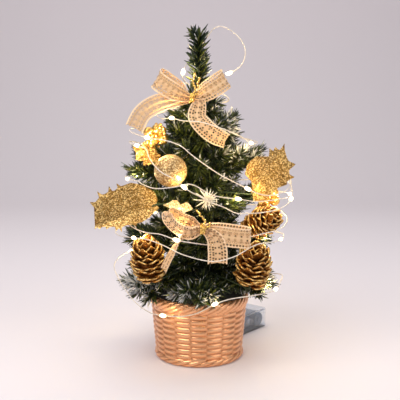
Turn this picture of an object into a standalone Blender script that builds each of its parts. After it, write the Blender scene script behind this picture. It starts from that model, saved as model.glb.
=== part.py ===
"""Artificial tabletop tree in a basket pot, with picks, bows, a light string and its battery box.

Units are metres, +Z is up. The origin is the centre of the pot's flat base on the floor, and -Y is
the tree's front. Each object is one physical piece; a moving piece has its origin on its joint.
"""

import math

import bmesh
import bpy
import numpy as np
from mathutils import Matrix, Vector

GAP = 0.0003                    # air left between pieces that rest on each other

# pot and its filling
POT_HEIGHT = 0.059
POT_TOP_RADIUS = 0.0445
POT_BASE_RADIUS = 0.0395
POT_WALL = 0.0022
ROPE_RADIUS = 0.0022            # rope bead at the rim and at the foot
FILL_HEIGHT = 0.055

# trunk and the shoot on top of it
TRUNK_RADIUS = 0.0025
TRUNK_FOOT = 0.020
TRUNK_TOP = 0.238
LEADER_RADIUS = 0.0058
TREE_HEIGHT = 0.300

# whorls of branches: height on the trunk, branch length, rise in degrees, compass angles in degrees
WHORLS = (
    (0.068, 0.064, 7, (30, 90, 150, 207, 270, 333)),
    (0.098, 0.060, 15, (15, 68, 124, 180, 271, 338)),
    (0.129, 0.057, 21, (30, 88, 146, 200, 292)),
    (0.160, 0.050, 29, (0, 60, 122, 182)),
    (0.192, 0.036, 38, (20, 135, 320)),
)
BRANCH_ROOT = 0.0036            # distance of a branch's root from the trunk's axis
BRANCH_WIRE = 0.0009
BRANCH_RADIUS = 0.0046          # the packed middle of the needles

PICK_WIRE = 0.0007              # radius of the wire stems of the picks
PICK_ROOT = 0.0036

# picks: centre of the piece, in the tree's frame
BALL_RADIUS = 0.0136
BALL_CENTRE = (-0.0235, -0.0505, 0.1750)
CONES = {
    "cone_left": ((-0.0425, -0.0520, 0.0985), 0.0350, 0.0145, (-0.10, -0.20, 1.0)),
    "cone_right": ((0.0455, -0.0500, 0.0930), 0.0350, 0.0150, (0.15, -0.25, 1.0)),
    "cone_side": ((0.0530, -0.0370, 0.1295), 0.0300, 0.0125, (0.80, -0.45, 0.45)),
}
BERRY_RADIUS = 0.0048
BERRIES = {
    "berries_left": (-0.0370, -0.0190, 0.2020),
    "berries_right": (0.0600, -0.0200, 0.1490),
}
STAR_CENTRE = (0.0070, -0.0590, 0.1515)
STAR_RADIUS = 0.0078

# holly leaves: base of the midrib, tip of the midrib, and the way the upper side faces
LEAF_THICKNESS = 0.0008
LEAVES = {
    "leaf_left": ((-0.036, -0.050, 0.1465), (-0.085, -0.062, 0.1300), (0.05, -1.0, 0.35)),
    "leaf_right": ((0.045, -0.043, 0.1560), (0.070, -0.048, 0.1950), (0.10, -1.0, 0.25)),
    "leaf_upper": ((-0.032, -0.014, 0.1780), (-0.058, -0.020, 0.1930), (-0.10, -1.0, 0.30)),
    "leaf_small": ((-0.0050, -0.0550, 0.1435), (-0.0290, -0.0570, 0.1475), (0.0, -1.0, 0.40)),
}

# each leaf's edge on either side of its midrib, from base to tip: (along, out) in millimetres
LEAF_EDGES = {
    "leaf_left": (
        ((1, -8), (7, -18), (14, -22), (22, -23), (25, -26), (29, -22), (33, -26), (37, -22),
         (42, -25), (44, -19), (50, -20), (50, -10)),
        ((3, 5), (9, 8), (20, 9), (22, 11.5), (25, 8.5), (33, 8), (35, 12), (37, 7), (42, 4),
         (50, 2.5)),
    ),
    "leaf_right": (
        ((3, 4), (9, 13), (16, 16), (23, 16), (30, 9.5), (39, 9), (40, 5), (44, 2)),
        ((2, -9), (6, -14), (11, -13), (22, -19), (30, -20.5), (31, -15.5), (39, -16),
         (39, -10), (44, -3)),
    ),
    "leaf_upper": (
        ((2, -2), (6, -6), (8, -5), (14, -10), (16, -6.5), (23, -9), (25, -3.5)),
        ((2, 2), (6, 6), (8, 5), (14, 10), (16, 6.5), (23, 9), (25, 3.5)),
    ),
    "leaf_small": (
        ((2, -2.5), (6, -5), (9, -3), (12, -2.5), (15, -5), (18, -4.5), (20, -2.5)),
        ((2, 1.5), (5, 3), (7.5, 5), (9.5, 2.5), (14, 2.5), (17, 5), (19, 2)),
    ),
}

# lace bows: the knot, and one ribbon's run through tail, loop, loop and tail. Each stop has its
# offset from the knot, how far the gathered ribbon has opened there, and its twist in degrees.
RIBBON_WIDTH = 0.016
RIBBON_THICKNESS = 0.0006
RIBBON_STEPS = 3                # rows of faces between two stops
RIBBON_PINCH = 0.0040           # the ribbon's width where the tie gathers it
BOWS = {
    "top_bow": {
        "knot": (-0.0062, -0.0180, 0.2340),
        "run": (
            ((-0.051, -0.024, -0.026), 1.0, 0),
            ((-0.043, -0.019, -0.012), 1.0, 0),
            ((-0.030, -0.012, -0.004), 0.9, 10),
            ((-0.014, -0.004, -0.001), 0.5, 10),
            ((0.000, 0.0022, 0.000), 0.0, 0),
            ((0.014, 0.008, 0.009), 0.7, 0),
            ((0.029, 0.005, 0.018), 1.0, 0),
            ((0.030, -0.004, 0.016), 1.0, 0),
            ((0.015, -0.009, 0.007), 0.8, 0),
            ((0.000, 0.000, 0.000), 0.0, 0),
            ((-0.014, 0.008, 0.010), 0.7, 0),
            ((-0.031, 0.004, 0.019), 1.0, 0),
            ((-0.033, -0.006, 0.016), 1.0, 0),
            ((-0.017, -0.010, 0.007), 0.8, 0),
            ((0.000, -0.0022, 0.000), 0.0, 0),
            ((0.006, -0.009, -0.005), 0.4, 0),
            ((0.005, -0.015, -0.016), 0.9, 0),
            ((0.012, -0.019, -0.027), 1.0, 0),
            ((0.026, -0.022, -0.038), 1.0, 0),
        ),
    },
    "front_bow": {
        "knot": (0.0028, -0.0745, 0.1305),
        "run": (
            ((-0.031, 0.006, -0.034), 0.6, 40),
            ((-0.025, 0.004, -0.020), 0.4, 40),
            ((-0.016, 0.003, -0.007), 0.3, 30),
            ((0.000, 0.0022, 0.000), 0.0, 0),
            ((0.014, 0.006, 0.001), 0.7, 0),
            ((0.036, 0.005, -0.005), 1.0, 0),
            ((0.038, -0.003, -0.006), 1.0, 0),
            ((0.018, -0.006, -0.005), 0.9, 0),
            ((0.000, 0.000, 0.000), 0.0, 0),
            ((-0.010, 0.004, 0.008), 0.4, 40),
            ((-0.025, 0.003, 0.017), 0.9, 60),
            ((-0.031, -0.001, 0.013), 1.0, 60),
            ((-0.026, -0.004, 0.002), 0.9, 60),
            ((-0.014, -0.005, -0.005), 0.5, 40),
            ((0.000, -0.0022, 0.000), 0.0, 0),
            ((0.009, -0.006, -0.006), 0.5, 0),
            ((0.012, -0.007, -0.016), 0.9, 0),
            ((0.012, -0.006, -0.028), 1.0, 0),
        ),
    },
}
TIE_RADIUS = 0.0066             # ring of twisted wire round the gathered ribbon
TIE_WIRE = 0.0008

# battery box: its own frame has +X along the box, towards the end that the lid slides out of
BOX_CENTRE = (0.0270, 0.0830)
BOX_TURN = math.radians(-40)
BOX_SIZE = (0.070, 0.048, 0.020)
BOX_WALL = 0.0015
SWITCH_BAY = 0.0100             # length of the closed bay at the -X end
BOX_ROUNDING = 0.0012
LID_GROOVE = 0.0007             # depth of the groove that each long edge of the lid slides in
SWITCH_SLOT = (0.0040, 0.0090, 0.0060)      # start and end from the -X end, half width
KNOB = (0.0044, 0.0086, -0.0040, 0.0010)    # start and end from the -X end, low and high side
LEAD_WAY = (0.010, 0.014, 0.006, 0.010)     # side and height of the hole for the cells' lead
WIRE_WAY = (0.0030, 0.0070, 0.0130)         # half width, low and high of the hole for the wire
BOARD_HALF_WIDTH = 0.016
BOARD_LOW = 0.0140
BOARD_HIGH = 0.0155
GLAND_HEIGHT = 0.0100
CELL_RADIUS = 0.0071
CELL_LENGTH = 0.0480
CELL_PITCH = 0.0148
CELL_NUB = (0.0027, 0.0010)     # radius and height of a cell's contact
CELL_EDGE = 0.0006
SPRING_TURNS = 3
SPRING_RADII = (0.0040, 0.0024) # at the wall and at the cell
SPRING_WIRE = 0.0003

# light string: its diameter, and its route from the box, up the back and round the tree to the top
WIRE_RADIUS = 0.0005
WIRE_POINTS = 84
SPAN_STEPS = 12                 # points tried between two points of the route
BEND_WEIGHT = 0.06              # metres of straight wire that one radian of bend counts as
LIGHT_ROUTE = (
    (-0.0067, 0.1112, 0.0100), (-0.0130, 0.1160, 0.0085), (-0.0240, 0.1170, 0.0040),
    (-0.0370, 0.1110, 0.0012), (-0.0450, 0.0980, 0.0050), (-0.0440, 0.0890, 0.0180),
    (-0.0380, 0.0820, 0.0340), (-0.0280, 0.0790, 0.0480), (-0.0100, 0.0800, 0.0560),
    (0.0150, 0.0780, 0.0580), (0.0400, 0.0670, 0.0600), (0.0600, 0.0480, 0.0640),
    (0.0730, 0.0250, 0.0690), (0.0760, -0.0010, 0.0740), (0.0720, -0.0280, 0.0760),
    (0.0660, -0.0420, 0.0720), (0.0590, -0.0560, 0.0730), (0.0440, -0.0700, 0.0740),
    (0.0260, -0.0760, 0.0730), (0.0130, -0.0770, 0.0690), (0.0050, -0.0690, 0.0620),
    (-0.0030, -0.0580, 0.0550), (-0.0130, -0.0520, 0.0510), (-0.0230, -0.0490, 0.0500),
    (-0.0310, -0.0470, 0.0500), (-0.0420, -0.0510, 0.0540), (-0.0540, -0.0540, 0.0640),
    (-0.0640, -0.0470, 0.0750), (-0.0720, -0.0300, 0.0820), (-0.0770, -0.0050, 0.0840),
    (-0.0750, 0.0200, 0.0860), (-0.0650, 0.0420, 0.0880), (-0.0450, 0.0630, 0.0910),
    (-0.0200, 0.0740, 0.0940), (0.0080, 0.0770, 0.0970), (0.0350, 0.0690, 0.1010),
    (0.0560, 0.0520, 0.1050), (0.0690, 0.0300, 0.1090), (0.0750, 0.0050, 0.1120),
    (0.0750, -0.0180, 0.1140), (0.0700, -0.0380, 0.1150), (0.0620, -0.0560, 0.1160),
    (0.0460, -0.0720, 0.1170), (0.0280, -0.0845, 0.1100), (0.0100, -0.0880, 0.1070),
    (-0.0120, -0.0830, 0.1110), (-0.0300, -0.0760, 0.1180), (-0.0430, -0.0690, 0.1210),
    (-0.0540, -0.0580, 0.1200), (-0.0680, -0.0340, 0.1170), (-0.0750, -0.0080, 0.1160),
    (-0.0730, 0.0160, 0.1180), (-0.0630, 0.0390, 0.1200), (-0.0430, 0.0590, 0.1230),
    (-0.0160, 0.0710, 0.1260), (0.0130, 0.0720, 0.1280), (0.0390, 0.0610, 0.1300),
    (0.0590, 0.0430, 0.1320), (0.0710, 0.0180, 0.1330), (0.0750, -0.0080, 0.1330),
    (0.0760, -0.0320, 0.1310), (0.0680, -0.0540, 0.1270), (0.0500, -0.0640, 0.1240),
    (0.0300, -0.0630, 0.1190), (0.0120, -0.0670, 0.1160), (-0.0040, -0.0800, 0.1200),
    (-0.0180, -0.0820, 0.1230), (-0.0310, -0.0740, 0.1260), (-0.0430, -0.0660, 0.1260),
    (-0.0560, -0.0470, 0.1270), (-0.0680, -0.0300, 0.1340), (-0.0730, -0.0080, 0.1350),
    (-0.0700, 0.0160, 0.1360), (-0.0590, 0.0380, 0.1380), (-0.0370, 0.0580, 0.1400),
    (-0.0100, 0.0680, 0.1420), (0.0180, 0.0670, 0.1440), (0.0430, 0.0550, 0.1460),
    (0.0620, 0.0340, 0.1480), (0.0750, 0.0080, 0.1500), (0.0800, -0.0160, 0.1510),
    (0.0760, -0.0360, 0.1510), (0.0610, -0.0480, 0.1500), (0.0460, -0.0550, 0.1500),
    (0.0320, -0.0620, 0.1530), (0.0200, -0.0670, 0.1550), (0.0090, -0.0705, 0.1580),
    (-0.0060, -0.0690, 0.1660), (-0.0190, -0.0700, 0.1640), (-0.0350, -0.0650, 0.1620),
    (-0.0470, -0.0520, 0.1640), (-0.0520, -0.0380, 0.1650), (-0.0620, -0.0220, 0.1650),
    (-0.0655, 0.0000, 0.1650),
    (-0.0580, 0.0280, 0.1640), (-0.0380, 0.0500, 0.1600), (-0.0100, 0.0620, 0.1560),
    (0.0200, 0.0630, 0.1540), (0.0460, 0.0500, 0.1560), (0.0640, 0.0280, 0.1590),
    (0.0750, 0.0020, 0.1620), (0.0800, -0.0200, 0.1600), (0.0780, -0.0400, 0.1500),
    (0.0680, -0.0530, 0.1440), (0.0520, -0.0570, 0.1410), (0.0400, -0.0610, 0.1410),
    (0.0300, -0.0660, 0.1420), (0.0210, -0.0700, 0.1470), (0.0120, -0.0720, 0.1510),
    (-0.0060, -0.0730, 0.1600), (-0.0120, -0.0720, 0.1640), (-0.0200, -0.0750, 0.1710),
    (-0.0310, -0.0740, 0.1770), (-0.0400, -0.0620, 0.1860), (-0.0440, -0.0470, 0.1930),
    (-0.0520, -0.0380, 0.1950), (-0.0600, -0.0220, 0.1970), (-0.0590, 0.0000, 0.1960),
    (-0.0480, 0.0240, 0.1920), (-0.0290, 0.0450, 0.1870), (-0.0020, 0.0550, 0.1820),
    (0.0260, 0.0530, 0.1770), (0.0490, 0.0400, 0.1730), (0.0650, 0.0180, 0.1700),
    (0.0720, -0.0060, 0.1690), (0.0790, -0.0300, 0.1640), (0.0720, -0.0490, 0.1580),
    (0.0580, -0.0560, 0.1550), (0.0460, -0.0590, 0.1580), (0.0400, -0.0590, 0.1610),
    (0.0270, -0.0640, 0.1680), (0.0160, -0.0660, 0.1740), (0.0040, -0.0640, 0.1820),
    (-0.0060, -0.0610, 0.1890), (-0.0150, -0.0560, 0.1960), (-0.0280, -0.0490, 0.2000),
    (-0.0430, -0.0430, 0.2020), (-0.0580, -0.0270, 0.2060), (-0.0590, -0.0080, 0.2080),
    (-0.0500, 0.0120, 0.2070), (-0.0360, 0.0310, 0.2040), (-0.0120, 0.0440, 0.2020),
    (0.0140, 0.0440, 0.2000), (0.0370, 0.0310, 0.1980), (0.0500, 0.0100, 0.1960),
    (0.0510, -0.0140, 0.1960), (0.0440, -0.0350, 0.1970), (0.0350, -0.0430, 0.2030),
    (0.0210, -0.0480, 0.2090), (0.0020, -0.0490, 0.2150), (-0.0140, -0.0430, 0.2160),
    (-0.0230, -0.0350, 0.2180), (-0.0310, -0.0220, 0.2170), (-0.0370, -0.0060, 0.2190),
    (-0.0350, 0.0120, 0.2210), (-0.0230, 0.0270, 0.2230), (-0.0030, 0.0330, 0.2260),
    (0.0160, 0.0280, 0.2290), (0.0270, 0.0130, 0.2320), (0.0230, 0.0100, 0.2370),
    (0.0090, 0.0180, 0.2420), (-0.0080, 0.0140, 0.2460), (-0.0140, 0.0020, 0.2510),
    (-0.0140, -0.0070, 0.2570), (-0.0110, 0.0020, 0.2640), (-0.0060, 0.0100, 0.2720),
    (0.0030, 0.0100, 0.2820), (0.0090, 0.0060, 0.2900), (0.0130, 0.0020, 0.2950),
    (0.0200, 0.0000, 0.2965), (0.0290, -0.0010, 0.2920), (0.0365, -0.0010, 0.2850),
    (0.0405, -0.0010, 0.2770), (0.0400, -0.0010, 0.2690), (0.0365, -0.0010, 0.2620),
    (0.0310, -0.0020, 0.2580), (0.0265, -0.0030, 0.2560),
)


def clear_scene():
    for item in list(bpy.data.objects):
        bpy.data.objects.remove(item, do_unlink=True)


clear_scene()
parts = bpy.data.collections.new("tabletop_tree")
cutters = bpy.data.collections.new("cutters")
bpy.context.scene.collection.children.link(parts)
bpy.context.scene.collection.children.link(cutters)


def material(name, color, roughness, metallic=0.0, alpha=1.0):
    made = bpy.data.materials.new(name)
    made.use_nodes = True
    shader = made.node_tree.nodes["Principled BSDF"]
    shader.inputs["Base Color"].default_value = (*color, 1.0)
    shader.inputs["Roughness"].default_value = roughness
    shader.inputs["Metallic"].default_value = metallic
    shader.inputs["Alpha"].default_value = alpha
    return made


ROSE_GOLD = material("rose_gold_plastic", (0.72, 0.42, 0.28), 0.35, 0.7)
PLASTER = material("plaster", (0.80, 0.78, 0.74), 0.9)
GREEN_TAPE = material("green_tape", (0.04, 0.09, 0.03), 0.6)
NEEDLE_GREEN = material("needle_green", (0.02, 0.07, 0.02), 0.5)
LACE_GOLD = material("gold_lace", (0.75, 0.55, 0.32), 0.6)
TIE_GOLD = material("gold_tie_wire", (0.80, 0.55, 0.20), 0.3, 1.0)
GLITTER_GOLD = material("gold_glitter", (0.62, 0.42, 0.14), 0.4, 0.8)
CHAMPAGNE = material("champagne_glitter", (0.66, 0.52, 0.36), 0.4, 0.7)
CONE_COPPER = material("cone_copper", (0.45, 0.24, 0.09), 0.4, 0.6)
BERRY_GOLD = material("berry_gold", (0.78, 0.52, 0.18), 0.2, 0.9)
FROST = material("frost", (0.88, 0.84, 0.74), 0.7)
CLEAR_PLASTIC = material("clear_plastic", (0.80, 0.84, 0.90), 0.15, 0.0, 0.35)
CELL_SKIN = material("cell_skin", (0.10, 0.12, 0.15), 0.35, 0.3)
SPRING_STEEL = material("spring_steel", (0.70, 0.70, 0.70), 0.25, 1.0)
BOARD_GREEN = material("board_green", (0.03, 0.25, 0.10), 0.5)
SWITCH_BLACK = material("switch_black", (0.03, 0.03, 0.03), 0.45)
WIRE_CREAM = material("wire_cream", (0.80, 0.70, 0.55), 0.35)


def add_object(name, mesh, finish, collection=None):
    made = bpy.data.objects.new(name, mesh)
    mesh.materials.append(finish)
    (collection or parts).objects.link(made)
    return made


def mesh_object(name, shape, finish, collection=None, smooth_angle=40):
    """An object made from a bmesh, smooth except at its sharp edges."""
    mesh = bpy.data.meshes.new(name)
    shape.to_mesh(mesh)
    shape.free()
    mesh.shade_smooth()
    mesh.set_sharp_from_angle(angle=math.radians(smooth_angle))
    return add_object(name, mesh, finish, collection)


def turned(name, profile, steps, finish):
    """A turned piece. Its profile is (radius, height) points, from the inside, down the outside."""
    shape = bmesh.new()
    points = [shape.verts.new((radius, 0.0, height)) for radius, height in profile]
    for first, second in zip(points, points[1:]):
        shape.edges.new((first, second))
    mesh = bpy.data.meshes.new(name)
    shape.to_mesh(mesh)
    shape.free()
    made = add_object(name, mesh, finish)
    screw = made.modifiers.new("turn", "SCREW")
    screw.axis = "Z"
    screw.steps = steps
    screw.render_steps = steps
    screw.use_merge_vertices = True
    screw.merge_threshold = 0.00001
    screw.use_smooth_shade = True
    return made


def aim(piece, place, direction):
    """Puts a piece's origin at a place and points its own +Z along a direction."""
    turn = Vector(direction).to_track_quat("Z", "Y")
    piece.matrix_world = Matrix.LocRotScale(Vector(place), turn, None)


def catmull(before, start, end, after, t):
    """A point on the smooth curve from start to end, whose neighbours are before and after."""
    return 0.5 * (2 * start + (end - before) * t
                  + (2 * before - 5 * start + 4 * end - after) * t ** 2
                  + (3 * start - before - 3 * end + after) * t ** 3)


def smooth_route(route, count):
    """Points on the smooth curve through the route's points, closer together where it bends."""
    points = np.array([route[0], *route, route[-1]], float)
    fine = [
        catmull(*around, t)
        for around in zip(points, points[1:], points[2:], points[3:])
        for t in np.linspace(0.0, 1.0, SPAN_STEPS, endpoint=False)
    ]
    fine = np.array([*fine, points[-1]])
    steps = np.diff(fine, axis=0)
    lengths = np.linalg.norm(steps, axis=1)
    headings = steps / lengths[:, None]
    bends = np.arccos(np.clip((headings[1:] * headings[:-1]).sum(axis=1), -1.0, 1.0))
    effort = np.cumsum(lengths + BEND_WEIGHT * np.append(bends, 0.0))
    effort = np.append(0.0, effort)
    stops = np.linspace(0.0, effort[-1], count)
    return np.stack([np.interp(stops, effort, fine[:, k]) for k in range(3)], axis=1)


def tube_curve(name, points, radius, finish, resolution=2):
    """A round wire along a chain of points, with closed ends."""
    curve = bpy.data.curves.new(name, "CURVE")
    curve.dimensions = "3D"
    curve.bevel_depth = radius
    curve.bevel_resolution = resolution
    curve.use_fill_caps = True
    spline = curve.splines.new("POLY")
    spline.points.add(len(points) - 1)
    for point, place in zip(spline.points, points):
        point.co = (*place, 1.0)
    return add_object(name, curve, finish)


def as_mesh(piece, collection=None):
    """Turns a curve object into a closed mesh object of the same name."""
    bpy.context.view_layer.update()
    seen = piece.evaluated_get(bpy.context.evaluated_depsgraph_get())
    mesh = bpy.data.meshes.new_from_object(seen)
    shape = bmesh.new()
    shape.from_mesh(mesh)
    bmesh.ops.remove_doubles(shape, verts=shape.verts, dist=0.000001)
    bmesh.ops.recalc_face_normals(shape, faces=shape.faces)
    shape.to_mesh(mesh)
    shape.free()
    place = piece.matrix_world.copy()
    name = piece.name
    bpy.data.objects.remove(piece, do_unlink=True)
    made = bpy.data.objects.new(name, mesh)
    made.matrix_world = place
    (collection or parts).objects.link(made)
    return made


def combine(piece, other, operation):
    """Joins another closed piece to this one, or cuts it away. The other one is only a guide."""
    if other.name in parts.objects:
        parts.objects.unlink(other)
        cutters.objects.link(other)
    other.hide_render = True
    other.display_type = "WIRE"
    change = piece.modifiers.new(operation.lower(), "BOOLEAN")
    change.operation = operation
    change.object = other


def root_of(place):
    """Where a pick's wire leaves the trunk, beside the place it reaches to."""
    outward = Vector((place[0], place[1], 0.0)).normalized()
    return outward * PICK_ROOT


def set_origin(piece, place):
    """Moves a mesh object's origin to a place without moving the mesh."""
    bpy.context.view_layer.update()
    piece.data.transform(Matrix.Translation(-Vector(place)) @ piece.matrix_world)
    piece.matrix_world = Matrix.Translation(Vector(place))


def add_stem(piece, points):
    """Joins a bent wire stem to a pick, whose origin goes to the stem's root."""
    stem = as_mesh(tube_curve(piece.name + "_stem", points, PICK_WIRE, GREEN_TAPE))
    set_origin(piece, points[0])
    combine(piece, stem, "UNION")


def stem_points(end, root_height, rise=0.0):
    """A stem from the trunk to a pick, bowed a little upwards on its way."""
    end = Vector(end)
    start = root_of(end) + Vector((0.0, 0.0, root_height))
    middle = start.lerp(end, 0.55) + Vector((0.0, 0.0, rise))
    return [start, middle, end]


def make_pot():
    inner_top = POT_TOP_RADIUS - POT_WALL
    inner_base = POT_BASE_RADIUS - POT_WALL
    rim = [
        (POT_TOP_RADIUS - ROPE_RADIUS + ROPE_RADIUS * math.cos(turn),
         POT_HEIGHT - ROPE_RADIUS + ROPE_RADIUS * math.sin(turn))
        for turn in (math.pi, 0.66 * math.pi, 0.33 * math.pi, 0.0, -0.33 * math.pi)
    ]
    foot = [
        (POT_BASE_RADIUS - 0.4 * ROPE_RADIUS + ROPE_RADIUS * math.cos(turn),
         2.2 * ROPE_RADIUS + ROPE_RADIUS * math.sin(turn))
        for turn in (0.33 * math.pi, 0.0, -0.33 * math.pi)
    ]
    base = [(POT_BASE_RADIUS - 0.0012, 0.0010), (POT_BASE_RADIUS - 0.0026, 0.0), (0.0, 0.0)]
    inside = [(0.0, POT_WALL), (inner_base, POT_WALL), (inner_top, POT_HEIGHT - 2 * ROPE_RADIUS)]
    turned("basket_pot", inside + rim + foot + base, 32, ROSE_GOLD)


def pot_inner_radius(height):
    share = height / (POT_HEIGHT - 2 * ROPE_RADIUS)
    return POT_BASE_RADIUS - POT_WALL + share * (POT_TOP_RADIUS - POT_BASE_RADIUS)


def make_filling():
    """Plaster cast in the pot, with a hole that the trunk stands in."""
    low = POT_WALL + GAP
    high = FILL_HEIGHT - 0.0008
    hole = TRUNK_RADIUS + GAP
    slack = 4 * GAP
    profile = [
        (0.0, TRUNK_FOOT - GAP),
        (hole, TRUNK_FOOT - GAP),
        (hole, FILL_HEIGHT),
        (pot_inner_radius(high) - 0.004, FILL_HEIGHT),
        (pot_inner_radius(high) - slack, high),
        (pot_inner_radius(low) - slack, low),
        (0.0, low),
    ]
    turned("plaster_weight", profile, 32, PLASTER)


def make_trunk():
    profile = [
        (0.0, TRUNK_TOP),
        (TRUNK_RADIUS * 0.7, TRUNK_TOP),
        (TRUNK_RADIUS, TRUNK_TOP - 0.004),
        (TRUNK_RADIUS, TRUNK_FOOT),
        (0.0, TRUNK_FOOT),
    ]
    turned("trunk_stem", profile, 14, GREEN_TAPE)


def make_leader():
    """The top shoot bends on the trunk's end."""
    length = TREE_HEIGHT - 0.002 - TRUNK_TOP
    profile = [
        (0.0, length),
        (0.0016, length - 0.001),
        (LEADER_RADIUS * 0.9, length * 0.72),
        (LEADER_RADIUS, length * 0.45),
        (LEADER_RADIUS * 0.9, length * 0.22),
        (TRUNK_RADIUS * 0.6, length * 0.08),
        (TRUNK_RADIUS * 0.6, 0.0008),
        (0.0, 0.0008),
    ]
    leader = turned("leader_tip", profile, 12, NEEDLE_GREEN)
    leader.location = (0.0, 0.0, TRUNK_TOP)


def branch_direction(angle, rise):
    flat = math.cos(rise)
    return Vector((math.cos(angle) * flat, math.sin(angle) * flat, math.sin(rise)))


def make_branches():
    """Each branch is a wire root and the packed core of its needles, turned about its own axis."""
    for tier, (height, length, rise, angles) in enumerate(WHORLS, start=1):
        profile = [
            (0.0, length),
            (BRANCH_RADIUS * 0.45, length - 0.001),
            (BRANCH_RADIUS, length * 0.78),
            (BRANCH_RADIUS, length * 0.42),
            (BRANCH_WIRE * 1.6, length * 0.20),
            (BRANCH_WIRE, length * 0.10),
            (BRANCH_WIRE, 0.0),
            (0.0, 0.0),
        ]
        for place, angle in enumerate(angles, start=1):
            turn = math.radians(angle)
            branch = turned(f"branch_{tier}_{place}", profile, 9, NEEDLE_GREEN)
            root = (math.cos(turn) * BRANCH_ROOT, math.sin(turn) * BRANCH_ROOT, height)
            aim(branch, root, branch_direction(turn, math.radians(rise)))


def ribbon_surface(bow):
    """The open strip that follows a bow's run."""
    knot = Vector(bow["knot"])
    route = [tuple(knot + Vector(offset)) for offset, _, _ in bow["run"]]
    opened = [share for _, share, _ in bow["run"]]
    twists = [math.radians(twist) for _, _, twist in bow["run"]]
    steps = RIBBON_STEPS * (len(route) - 1) + 1
    stops = [k / RIBBON_STEPS for k in range(steps)]
    middle = [on_route(route, at) for at in stops]
    marks = range(len(route))
    shape = bmesh.new()
    rows = []
    for k, (at, centre) in enumerate(zip(stops, middle)):
        along = (middle[min(k + 1, steps - 1)] - middle[max(k - 1, 0)]).normalized()
        across = Vector((0.0, 1.0, 0.0)).cross(along).normalized()
        if across.z < 0.0:
            across = -across
        across = Matrix.Rotation(np.interp(at, marks, twists), 3, along) @ across
        share = math.sin(np.interp(at, marks, opened) * math.pi / 2)
        width = RIBBON_PINCH + (RIBBON_WIDTH - RIBBON_PINCH) * share
        rows.append([shape.verts.new(centre + across * width * side) for side in (-0.5, 0.0, 0.5)])
    for first, second in zip(rows, rows[1:]):
        for side in (0, 1):
            shape.faces.new((first[side], first[side + 1], second[side + 1], second[side]))
    return shape


def on_route(route, at):
    """The point of the smooth curve through a route, at a number of stops from its start."""
    last = len(route) - 1
    index = min(int(at), last - 1)
    around = [Vector(route[max(0, min(last, index + step))]) for step in (-1, 0, 1, 2)]
    return catmull(*around, at - index)


def make_bows():
    for name, bow in BOWS.items():
        ribbon = mesh_object(name, ribbon_surface(bow), LACE_GOLD)
        thick = ribbon.modifiers.new("thickness", "SOLIDIFY")
        thick.thickness = RIBBON_THICKNESS
        thick.offset = 0.0
        bpy.ops.mesh.primitive_torus_add(
            major_segments=16, minor_segments=6, major_radius=TIE_RADIUS, minor_radius=TIE_WIRE,
            location=bow["knot"], rotation=(0.0, math.pi / 2, 0.0),
        )
        tie = bpy.context.object
        tie.name = name + "_tie"
        tie.data.materials.append(TIE_GOLD)
        tie.data.shade_smooth()
        for used in list(tie.users_collection):
            used.objects.unlink(tie)
        parts.objects.link(tie)


def make_leaves():
    """Flat spiked plates, each on a wire that runs up its back."""
    for name, (base, tip, facing) in LEAVES.items():
        base = Vector(base)
        along = Vector(tip) - base
        length = along.length
        first, second = LEAF_EDGES[name]
        edges = [(0.0, 0.0), *first, (length * 1000, 0.0), *reversed(second)]
        outline = [(x / 1000, y / 1000) for x, y in edges]
        curve = bpy.data.curves.new(name, "CURVE")
        curve.dimensions = "2D"
        curve.fill_mode = "BOTH"
        curve.extrude = LEAF_THICKNESS / 2
        spline = curve.splines.new("POLY")
        spline.points.add(len(outline) - 1)
        for point, place in zip(spline.points, outline):
            point.co = (*place, 0.0, 1.0)
        spline.use_cyclic_u = True
        leaf = add_object(name, curve, GLITTER_GOLD)
        x_axis = along.normalized()
        z_axis = Vector(facing)
        z_axis = (z_axis - x_axis * z_axis.dot(x_axis)).normalized()
        y_axis = z_axis.cross(x_axis)
        turn = Matrix((x_axis, y_axis, z_axis)).transposed()
        leaf.matrix_world = Matrix.LocRotScale(base, turn.to_quaternion(), None)
        leaf = as_mesh(leaf)
        behind = z_axis * -LEAF_THICKNESS * 0.6
        reach = base + x_axis * length * 0.35 + behind
        joint = base + behind - x_axis * 0.002
        root = root_of(base) + Vector((0.0, 0.0, base.z - 0.004))
        add_stem(leaf, [root, root.lerp(joint, 0.6), joint, reach])


def make_ball():
    """A glitter ball, its cap and the wire loop that ties it to the trunk."""
    shape = bmesh.new()
    bmesh.ops.create_uvsphere(shape, u_segments=16, v_segments=10, radius=BALL_RADIUS)
    ball = mesh_object("glitter_ball", shape, CHAMPAGNE)
    centre = Vector(BALL_CENTRE)
    inward = Vector((-centre.x, -centre.y, 0.020)).normalized()
    aim(ball, centre, inward)
    cap_height = 0.0030
    profile = [
        (0.0, BALL_RADIUS + GAP + cap_height),
        (0.0026, BALL_RADIUS + GAP + cap_height),
        (0.0034, BALL_RADIUS + GAP + cap_height - 0.0006),
        (0.0034, BALL_RADIUS + GAP),
        (0.0, BALL_RADIUS + GAP),
    ]
    cap = turned("ball_cap", profile, 12, TIE_GOLD)
    aim(cap, centre, inward)
    start = centre + inward * (BALL_RADIUS + cap_height + 2.5 * GAP + PICK_WIRE)
    root = root_of(centre) + Vector((0.0, 0.0, start.z + 0.006))
    tube_curve("ball_wire", [root, root.lerp(start, 0.5) + Vector((0, 0, 0.002)), start],
               PICK_WIRE, TIE_GOLD)


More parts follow.
